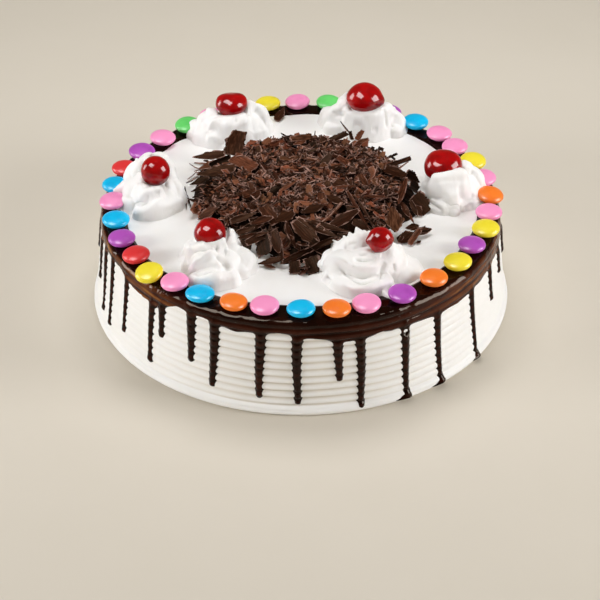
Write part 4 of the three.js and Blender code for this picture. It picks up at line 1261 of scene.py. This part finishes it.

# %% [markdown]
# Some shavings stand out: long rolls at the front, a flake stuck upright at the back left, and
# strays on the bare cream. They are placed one by one: start and end over the cream top,
# width, roll in degrees, bend and cup in radians, the cut of the ends, tone and warmth.

# %% Shavings placed one by one
PLACED = [
    ((-34.4, 37, 6.5), (-32.4, 42.2, 18.5), 10.8, 8, 0.35, 0.5, "slant", 0.5, 0.2),
    ((-38.1, 37.9, 7), (-55.4, 39.9, 3.3), 5.4, -25, 0.3, 0.4, "point", 0.4, 0.3),
    ((-42.1, 33, 5.5), (-52, 30, 2.6), 4.2, -20, 0.3, 0.3, "point", 0.7, 0.6),
    # Painted shade: this flake lies under the upright one and is near black.
    ((-46.3, 27.4, 6), (-35.4, 30.9, 9), 4.6, 58, 0.3, 0.9, "square", 0.03, 0.5),
    ((-32.9, 19.5, 9.8), (-52.2, 21.6, 4.3), 7.6, -20, 0.2, 0.3, "point", 0.5, 0.05),
    ((-34.5, 29.6, 9.8), (-22.8, 17.2, 10.2), 7.8, 14, 0.3, 0.3, "square", 0.72, 0.62),
    ((-45.8, 13, 8), (-55.9, 14.5, 3), 4.4, -30, 0.3, 0.6, "spear", 0.12, 0.3),
    ((-46.4, 7.5, 7), (-54.9, 9.1, 2.4), 3.8, -25, 0.3, 0.5, "spear", 0.08, 0.3),
    ((-47.6, 1.5, 6), (-54, 4.2, 1.9), 3.2, -20, 0.3, 0.5, "point", 0.12, 0.4),
    ((-48.3, -6.1, 5.5), (-56.4, 3.1, 1.8), 3.0, -20, 0.4, 0.6, "spear", 0.2, 0.5),
    ((-40.7, -17.9, 10), (-50.4, -17.5, 3.2), 7.0, -16, 0.3, 0.4, "leaf", 0.5, 0.5),
    ((-58.3, 16, 0.6), (-56.7, -5, 0.6), 1.7, 20, 0.15, 0.6, "spear", 0.05, 0.9),
    ((-56.9, 8.3, 0.7), (-54.5, -3.4, 0.7), 1.1, 10, 0.15, 0.6, "spear", 0.1, 0.8),
    ((43.4, 18.8, 11.2), (55.7, 26.5, 11.2), 4.6, 50, 0.2, 1.9, "square", 0.5, 0.35),
    ((42, 17.3, 10.5), (53.2, 14.4, 8.8), 6.0, 20, 0.3, 0.5, "slant", 0.4, 0.5),
    ((43.3, 39.5, 2.6), (49.7, 43.4, 3.4), 1.5, 10, 0.2, 0.5, "square", 0.05, 0.5),
    ((45.9, 44.1, 2), (48.6, 41.5, 1), 1.2, 10, 0.2, 0.5, "square", 0.05, 0.5),
    ((40.1, 50.7, 2.6), (42.9, 50.1, 1.6), 2.4, 10, 0.2, 0.5, "square", 0.05, 0.5),
    ((47.8, -17.4, 11), (52.7, 6.1, 11.8), 5.4, -20, 0.5, 1.4, "leaf", 0.58, 0.55),
    ((52.9, 15.3, 9.5), (59.8, 14, 4.6), 6.0, 32, 0.4, 0.6, "point", 0.1, 0.1),
    ((54.2, 6.6, 8), (61.7, 7.5, 2.6), 7.0, 26, 0.4, 0.6, "point", 0.05, 0.3),
    ((56.2, -1.2, 6.6), (63.7, -7.5, 1.2), 8.6, 28, 0.3, 0.3, "slant", 0.28, 0.2),
    ((55, -8.2, 6), (59.9, -11.1, 1.2), 5.0, 28, 0.3, 0.4, "leaf", 0.35, 0.4),
    ((22.9, -6.8, 12.4), (33.6, -33, 6.8), 2.3, 25, 0.3, 0.8, "point", 0.5, 0.95),
    ((26.8, -9.6, 12), (35.6, -30.7, 7.2), 1.7, 25, 0.3, 0.8, "spear", 0.4, 0.5),
    ((7.5, -35.3, 9.8), (20.2, -19, 13), 3.3, -40, 0.2, 1.7, "square", 0.63, 0.55),
    ((10.9, -36.5, 9.2), (28.2, -21.3, 11.4), 6.2, 26, 0.3, 0.5, "leaf", 0.29, 0.5),
    ((44.8, -20.1, 11.8), (46.4, -35, 7.2), 8.8, 4, 0.3, 0.2, "leaf", 0.58, 0.05),
    ((-26.8, -42.1, 5.2), (-11.2, -35, 9.8), 4.6, 42, 0.5, 0.9, "point", 0.3, 0.6),
    ((-30.9, -32.3, 5.2), (-17.1, -29.1, 10), 5.0, 44, 0.4, 0.8, "leaf", 0.25, 0.5),
    ((-34.3, -25.2, 6.5), (-21.8, -23.2, 10.8), 4.2, 40, 0.4, 0.8, "point", 0.35, 0.4),
    ((-12.5, -36.1, 9.6), (-8, -55.3, 3.2), 4.6, 34, 0.6, 0.8, "point", 0.22, 0.6),
    ((-3.1, -30.7, 11), (10.6, -45.2, 5), 8.8, 22, 0.4, 0.4, "point", 0.36, 0.4),
    ((-7.6, -31.5, 10.6), (-2.4, -46.4, 4.6), 5.0, -30, 0.5, 0.6, "spear", 0.29, 0.5),
    ((-2.1, -29.2, 11.6), (19.3, -41.5, 7.8), 4.8, 34, 0.5, 0.8, "spear", 0.26, 0.5),
    ((4.4, -32.4, 11.2), (23.9, -37.4, 8.8), 3.6, 30, 0.4, 0.8, "point", 0.22, 0.4),
    ((-10.1, -54.9, 2.8), (17.3, -43, 9.6), 7.4, 50, 0.5, 2.4, "leaf", 0.32, 0.5),
    ((-9.3, -52.5, 3.6), (-20.5, -53.4, 1.1), 3.8, -28, 0.4, 0.7, "point", 0.3, 1.0),
    ((-17.6, -54.5, 1.4), (-12.1, -55.9, 0.8), 2.4, 10, 0.4, 0.5, "leaf", 0.43, 0.6),
    ((-3.1, -53.8, 3.4), (-2.6, -60.7, 0.7), 5.6, 6, 0.2, 0.2, "square", 0.14, 0.4),
    ((4.3, -52.5, 4.4), (7.4, -60, 0.8), 8.0, 12, 0.2, 0.3, "slant", 0.12, 0.4),
    # Painted shade: near black, for the shade under the overhanging shavings at the front left.
    ((-19.3, -35.8, 8.2), (-16.6, -46.9, 2.2), 8.5, 40, 0.3, 0.4, "square", 0.1, 0.7),
    ((-13.4, -37.3, 10), (-9.9, -49.4, 5), 6.2, 30, 0.5, 0.9, "leaf", 0.3, 0.8),
    ((-30.3, -38.4, 6.4), (-13.9, -38.6, 9.9), 2.8, 55, 0.4, 0.8, "spear", 0.45, 0.9),
    ((-30.8, -36.2, 7.6), (-22.1, -35.3, 10.2), 3.2, 40, 0.4, 0.9, "point", 0.3, 0.7),
    ((-24.5, -32.3, 10.2), (-13.5, -28.7, 12), 4.4, 35, 0.4, 0.9, "leaf", 0.4, 0.8),
    # Painted shade: near black, for the shade under the overhanging shavings at the front left.
    ((-27.6, -32.7, 6.0), (-24.5, -42.1, 1.6), 6.0, 36, 0.3, 0.4, "slant", 0.08, 0.6),
    ((4.4, -43.9, 7.6), (12.9, -47.7, 3.6), 6.0, 20, 0.4, 0.5, "slant", 0.16, 0.5),
    ((17.4, -39.7, 9.4), (29.2, -38.6, 4), 5.5, 30, 0.4, 0.5, "leaf", 0.11, 0.4),
    ((24.7, -30.3, 10.2), (35.2, -31.1, 6), 5.0, 30, 0.4, 0.5, "point", 0.2, 0.4),
    ((46.9, -34.2, 1), (55.4, -29.5, 3.2), 6.8, 30, 0.5, 0.8, "leaf", 0.42, 0.2),
    ((52.3, -36.4, 0.9), (57.8, -28.2, 4.2), 3.0, 30, 0.3, 0.8, "square", 0.6, 0.8),
    ((57.3, -29.7, 2.2), (63.9, -26.1, 2.8), 2.8, 20, 0.3, 0.6, "spear", 0.15, 0.3),
    ((53.4, -27.9, 3.4), (60.7, -27, 5), 3.6, -20, 0.5, 0.6, "point", 0.5, 0.6),
    ((55.9, -35.3, 0.8), (58.2, -33.3, 1), 2.0, 10, 0.3, 0.5, "leaf", 0.2, 0.5),
    ((49.1, -12.0, 10.4), (53.3, -21.4, 7), 3.6, 30, 0.5, 1.0, "leaf", 0.45, 0.7),
    ((54.2, -9.4, 8.4), (57.6, -18.4, 5), 3.0, 34, 0.5, 1.0, "point", 0.3, 0.6),
    ((51.6, -16.6, 8.6), (55.6, -22.6, 3.6), 2.2, 30, 0.5, 1.0, "spear", 0.6, 0.8),
    ((51.0, -26.3, 3.8), (57.7, -24.6, 4.2), 4.0, 40, 0.5, 1.2, "leaf", 0.3, 0.7),
    ((54.5, -29.6, 3.5), (63.6, -25.4, 2.6), 4.2, 35, 0.6, 1.2, "leaf", 0.35, 0.6),
    ((49.2, -29.0, 2.2), (47.9, -34.0, 0.8), 4.0, 20, 0.3, 0.6, "leaf", 0.35, 0.2),
    ((-12.8, 81.1, 0.9), (-8.8, 89.3, 4.4), 4.8, 12, 0.2, 0.3, "point", 0.42, 0.6),
    ((-6.9, 88.4, 1.6), (-4.3, 87.6, 1.3), 0.9, 10, 0.2, 0.4, "spear", 0.2, 0.5),
    ((14.5, 47.3, 8.6), (24.1, 53.9, 9.6), 3.8, 35, 0.3, 1.0, "square", 0.2, 0.2),
    ((26.4, 49.8, 8), (25.2, 54.2, 10.6), 2.2, 20, 0.3, 0.6, "slant", 0.1, 0.4),
    ((29.1, 52, 6.4), (31.8, 55.2, 10.6), 3.2, 20, 0.3, 0.6, "slant", 0.65, 1.0),
    ((25.5, 54, 9), (20.5, 57.4, 14.5), 1.1, 0, 0.2, 0.3, "spear", 0.02, 0.5),
    ((-10.2, 51.1, 11.2), (-5.8, 47.5, 10.6), 1.1, 0, 0.3, 0.4, "spear", 0.05, 0.5),
    ((-5.2, 45.6, 10.6), (5.9, 48.5, 10.8), 4.2, 14, 0.3, 0.4, "square", 0.6, 0.1),
    ((-3.8, 39.8, 11.2), (2.6, 43.5, 11.2), 3.2, 14, 0.3, 0.4, "leaf", 0.62, 0.5),
    ((-15.7, 38.9, 10.8), (-8.8, 45.1, 10.6), 3.6, 20, 0.3, 0.4, "slant", 0.55, 0.95),
    ((-27.6, 43.3, 9.8), (-22.7, 44.7, 10.2), 3.4, 20, 0.6, 0.6, "leaf", 0.95, 0.85),
    ((-24.5, 40.7, 10.4), (-20.1, 39.1, 10.4), 2.6, 20, 0.6, 0.6, "leaf", 0.8, 0.9),
    ((-10.9, -6.1, 12.2), (-2.1, 1.7, 13.4), 3.0, 44, 0.3, 1.3, "spear", 0.72, 0.6),
    ((-16.5, -7.4, 11.6), (-9.6, -1.9, 12.2), 4.2, 40, 0.3, 0.6, "leaf", 0, 0.4),
    ((0, -24.2, 11.4), (10.8, -18.7, 12.2), 5.4, 20, 0.3, 0.4, "leaf", 0.32, 0.1),
    ((-18.4, -19.1, 11.6), (-11.2, -31.4, 9.6), 7.0, 14, 0.4, 0.4, "slant", 0.46, 0.45),
    ((-12.3, -30.1, 10.6), (-3.2, -24.6, 12), 7.2, 16, 0.3, 0.4, "leaf", 0.36, 0.15),
    ((-28.7, -8.4, 11), (-20, -5.4, 11.6), 5.0, 20, 0.4, 0.4, "slant", 0.5, 0.6),
    ((16.7, 2.7, 11.8), (24.6, -3.8, 11.8), 6.0, 14, 0.4, 0.4, "slant", 0.42, 0.3),
    ((12.5, -10.1, 12), (21.6, -17.1, 11.8), 5.0, 14, 0.4, 0.4, "leaf", 0.36, 0.2),
    ((15.9, -2.5, 12.2), (30, -1, 12.2), 2.2, 30, 0.2, 0.6, "spear", 0.55, 0.6),
    ((31.1, -9.8, 11.8), (44.3, -10.7, 11.4), 2.2, 20, 0.2, 0.6, "spear", 0.5, 0.6),
]
placed_start = np.array([row[0] for row in PLACED]) + (0, 0, TOP_HEIGHT)
placed_end = np.array([row[1] for row in PLACED]) + (0, 0, TOP_HEIGHT)
placed_width, roll, curl, cup = np.array([row[2:6] for row in PLACED]).T
shade_of = np.array([row[7:] for row in PLACED]).T
cut = np.array([CUTS[row[6]] for row in PLACED])
ends = (placed_start, placed_end, placed_width, np.radians(roll))
points, faces, values = flakes(ends, cut, curl, cup, 0.5, 16, 6, 90, fray=0.13)
values["tone"], values["warm"] = np.repeat(shade_of, len(points) // len(PLACED), axis=1)
mesh = mesh_from("shavings_placed", points, faces, values, flat_groups=1)
piece(mesh, FLAKE, "dark_chocolate", ["chocolate_shavings"])

# %% [markdown]
# The rest is strewn: many fine splinters and chips, fewer large flakes, and none of them on top
# of a placed shaving, but for low ones at the foot of the heap, which may lie beside one. A
# random draw of places would do, if it weren't for the rosettes and the placed shavings. So more
# places are drawn than are wanted, and those that aren't clear are left out.

# %% Clear places
# Middle and radius of the ground that each rosette takes up.
ROSETTE_BASES = [(-38, 69, 17.5), (-73, 3, 18), (-39, -55, 18.5), (30, -61, 19), (73, 8, 18), (34, 72, 19)]
FRONT_LINE = -34  # y of the wavy line that parts the front of the heap from the rest


def clear_of_rosettes(x, y, margin):
    """True where a point isn't under the base of a rosette."""
    clear = np.ones(x.shape, bool)
    for base_x, base_y, radius in ROSETTE_BASES:
        clear &= np.hypot(x - base_x, y - base_y) > radius + margin
    return clear


def clear_of_placed(x, y, gap):
    """True where a point isn't over a placed shaving: farther from its middle line than half of
    its width and the gap."""
    first = placed_start[:, :2]
    run = placed_end[:, :2] - first
    away = np.stack([x, y], -1)[:, None, :] - first
    share = np.clip((away * run).sum(-1) / (run**2).sum(-1), 0.04, 0.96)
    distance = np.linalg.norm(away - share[..., None] * run, axis=-1)
    return (distance > 0.5 * placed_width + gap).all(axis=1)


def strewn(count, lengths, slim, tilt, seed, region, lift, front, gap=0.9):
    """Start, end, width and roll of flakes strewn over the heap: even over its area between two
    shares of its outline, turned at random. slim is the range of width over length. front above
    0 keeps more of them at the front, and below 0 fewer. gap is the way to a placed shaving.
    Where too few places are clear, there are fewer than count."""
    rng = np.random.default_rng(seed)
    bearing = rng.uniform(0, 2 * np.pi, count * 4)
    share = np.sqrt(rng.uniform(region[0] ** 2, region[1] ** 2, count * 4))
    distance = share * between(np.degrees(bearing), edge_bearing, edge_distance)
    x = HEAP_CENTRE[0] + distance * np.cos(bearing)
    y = HEAP_CENTRE[1] + distance * np.sin(bearing)
    behind = np.clip((y - FRONT_LINE + 5 * np.sin(x / 9)) / 12, 0, 1)
    chance = 1 - abs(front) * (behind if front > 0 else 1 - behind)
    wanted = clear_of_rosettes(x, y, 1.0) & (rng.uniform(0, 1, len(x)) < chance)
    wanted &= clear_of_placed(x, y, gap)
    x, y = x[wanted][:count], y[wanted][:count]
    count = len(x)
    z = TOP_HEIGHT + 0.3 + heap_height(x, y) + rng.uniform(*lift, count)
    yaw = rng.uniform(0, 2 * np.pi, count)
    pitch = rng.normal(0, tilt, count)
    length = rng.uniform(*lengths, count)
    half = np.stack([np.cos(yaw) * np.cos(pitch), np.sin(yaw) * np.cos(pitch), np.sin(pitch)], 1)
    half *= length[:, None] / 2
    middle = np.stack([x, y, z], 1)
    return middle - half, middle + half, length * rng.uniform(*slim, count), rng.normal(0, tilt, count)


print("ground taken up by the rosettes:", len(ROSETTE_BASES), "circles")

# %% Strewn shavings


def shavings(name, ends, curl, cup, thickness, columns, rows, seed):
    """One kind of strewn shaving as a piece of its own, each with its own random cut."""
    rng = np.random.default_rng(seed)
    count = len(ends[0])
    cut = np.stack([rng.uniform(0.05, 1.0, (count, 4)), rng.uniform(0.3, 1.6, (count, 4))], -1)
    bends, cups = rng.uniform(*curl, count), rng.uniform(*cup, count)
    points, faces, values = flakes(ends, cut, bends, cups, thickness, columns, rows, seed)
    mesh = mesh_from(name, points, faces, values, flat_groups=1)
    return piece(mesh, FLAKE, "dark_chocolate", ["chocolate_shavings"])


# For each kind, how it lies: number at most, length, width over length, tilt, seed, shares of
# the outline, lift and front. Then its form: bend, cup, thickness, spaces along and across,
# seed. Little room is left between the placed shavings for the long shards.
KINDS = {
    "splinters": ((2100, (1.8, 5.5), (0.15, 0.4), 0.4, 81, (0.0, 0.93), (-0.8, 1.5), -0.6),
                  ((-0.6, 0.9), (-0.5, 0.9), 0.45, 2, 1, 82)),
    "chips": ((1900, (2.4, 7.0), (0.35, 0.8), 0.4, 83, (0.0, 0.93), (-0.8, 1.8), -0.5),
              ((-0.7, 1.0), (-0.6, 1.0), 0.5, 3, 3, 84)),
    "scales": ((280, (5.5, 11.0), (0.35, 0.7), 0.36, 85, (0.0, 0.93), (-0.4, 2.0), 0.25),
               ((-0.6, 1.3), (-0.5, 1.1), 0.55, 6, 4, 86)),
    "shards": ((44, (9.0, 17.0), (0.26, 0.46), 0.3, 87, (0.3, 0.9), (-0.8, 1.2), 0.99),
               ((-0.4, 1.3), (0.2, 1.5), 0.6, 12, 4, 88)),
    "needles": ((200, (5.0, 11.0), (0.07, 0.12), 0.3, 89, (0.0, 1.0), (0.3, 2.2), -0.6),
                ((-0.7, 0.9), (-0.5, 0.5), 0.5, 4, 1, 90)),
}
# Low scales at the foot of the heap. The negative gap lets them reach a little under a placed
# shaving.
LOW_SCALES = (150, (4.0, 9.0), (0.3, 0.7), 0.42, 91, (0.5, 0.97), (-1.4, 0.5), 0.99, -0.8)

for kind, (lie, form) in KINDS.items():
    ends = strewn(*lie)
    if kind == "scales":
        ends = [np.concatenate(pair) for pair in zip(ends, strewn(*LOW_SCALES))]
    print(kind, "strewn:", len(ends[0]))
    shavings(f"shavings_{kind}", ends, *form)

# %% [markdown]
# ## Floor
# The cake stands on a seamless sheet of pale paper, which a single very large square gives. It
# lies a hair under the cake's flat base, so that the two faces don't share a plane.

# %% Floor
FLOOR_REACH, FLOOR_LEVEL = 6000.0, -0.2


def pale_paper():
    """Seamless background paper: matt, faintly warm, with a barely visible fibre."""
    tree, place, close = new_finish("pale_paper")
    return close(add(tree, "BsdfPrincipled", {
        "Base Color": shades(tree, lumps(tree, place, 0.05, 4.0), "#dbd3c4", "#dfd7c9"),
        "Roughness": 0.85,
    }))


square = FLOOR_REACH * np.array([(-1, -1), (1, -1), (1, 1), (-1, 1)])
corners = np.column_stack([square, np.full(4, FLOOR_LEVEL)])
floor = bpy.data.objects.new("floor", mesh_from("floor", corners, [np.array([[0, 1, 2, 3]])]))
floor.data.materials.append(pale_paper())
bpy.context.scene.collection.objects.link(floor)

# %% [markdown]
# ## Light
# Cream shows its folds only in soft light that comes from one side more than from another, but
# ganache and syrup show little except what they mirror. So the two jobs are kept apart. Four
# softboxes light the matt things and aren't mirrored: one overhead and a little to the back, one
# low at each side, and a weak low one in front, which leaves the front of the cake in gentle
# shade where the comb marks show. Three white cards are only mirrored, for the glints.

# %% Softboxes and sky
AIM_HEIGHT = 30  # mm: the point up the cake's axis that all of them look at


def softbox(name, direction, distance, size, watts, code, mirrored=True, lit=True):
    """A rectangular area light that looks at the cake from a direction. mirrored says whether
    glossy things reflect it, lit whether it lights matt ones."""
    light = bpy.data.lights.new(name, "AREA")
    light.shape = "RECTANGLE"
    light.size, light.size_y = size[0] * MM, size[1] * MM
    light.energy = watts
    light.color = linear(code)[:3]
    lamp = bpy.data.objects.new(name, light)
    towards = Vector(direction).normalized()
    lamp.location = towards * distance * MM + Vector((0, 0, AIM_HEIGHT * MM))
    lamp.rotation_euler = towards.to_track_quat("Z", "Y").to_euler()
    lamp.visible_glossy, lamp.visible_diffuse = mirrored, lit
    bpy.context.scene.collection.objects.link(lamp)


softbox("overhead", (0.0, 0.28, 0.96), 600, (330, 280), 2.05, "#fdfdff", mirrored=False)
softbox("right_side", (0.92, -0.24, 0.36), 1200, (500, 560), 8.8, "#fdfdff", mirrored=False)
softbox("left_side", (-0.92, -0.28, 0.29), 1200, (500, 560), 8.3, "#fdfdff", mirrored=False)
softbox("front_fill", (0.0, -1.0, 0.06), 1300, (700, 130), 1.9, "#fdfdff", mirrored=False)
softbox("key_glint", (-0.44, -0.32, 0.82), 1200, (760, 720), 23.0, "#ffffff", lit=False)
softbox("side_glint", (0.92, -0.26, 0.34), 1200, (760, 720), 23.0, "#ffffff", lit=False)
softbox("rim_glint", (-0.97, 0.13, 0.24), 1200, (460, 620), 9.0, "#ffffff", lit=False)

sky = bpy.data.worlds.new("studio_room")
sky.use_nodes = True
sky.node_tree.nodes["Background"].inputs["Color"].default_value = linear("#fff0cc")
sky.node_tree.nodes["Background"].inputs["Strength"].default_value = 0.14
bpy.context.scene.world = sky
bpy.context.scene.view_settings.view_transform = "Standard"
print("lights:", len(bpy.data.lights))

# %% [markdown]
# ## Camera
# The cake is seen from in front and above, from about a metre away. A camera could be turned by
# three angles, but a point to look from and a point to look at are easier to measure and check,
# so its three axes are worked out from those two, and a small roll about the line of sight.

# %% Camera
VIEW_FROM = Vector((-0.46, -868.6, 612.2))
VIEW_TO = Vector((-0.46, 0.0, -7.54))
ROLL = np.radians(-0.084)
FOCAL_PIXELS, PICTURE_PIXELS = 2071.72, 600  # focal length and width of the picture in pixels

camera_data = bpy.data.cameras.new("camera")
camera_data.sensor_width = 36.0
camera_data.lens = FOCAL_PIXELS * camera_data.sensor_width / PICTURE_PIXELS
camera_data.clip_start, camera_data.clip_end = 0.05, 20.0
camera = bpy.data.objects.new("camera", camera_data)
forward = (VIEW_TO - VIEW_FROM).normalized()
right = Vector((1, 0, 0))
up = right.cross(forward)
turned_right = right * np.cos(ROLL) + up * np.sin(ROLL)
turned_up = up * np.cos(ROLL) - right * np.sin(ROLL)
turn = Matrix((turned_right, turned_up, -forward)).transposed()
camera.matrix_world = Matrix.Translation(VIEW_FROM * MM) @ turn.to_4x4()
bpy.context.scene.collection.objects.link(camera)
bpy.context.scene.camera = camera
print("lens", round(camera_data.lens, 1), "mm")
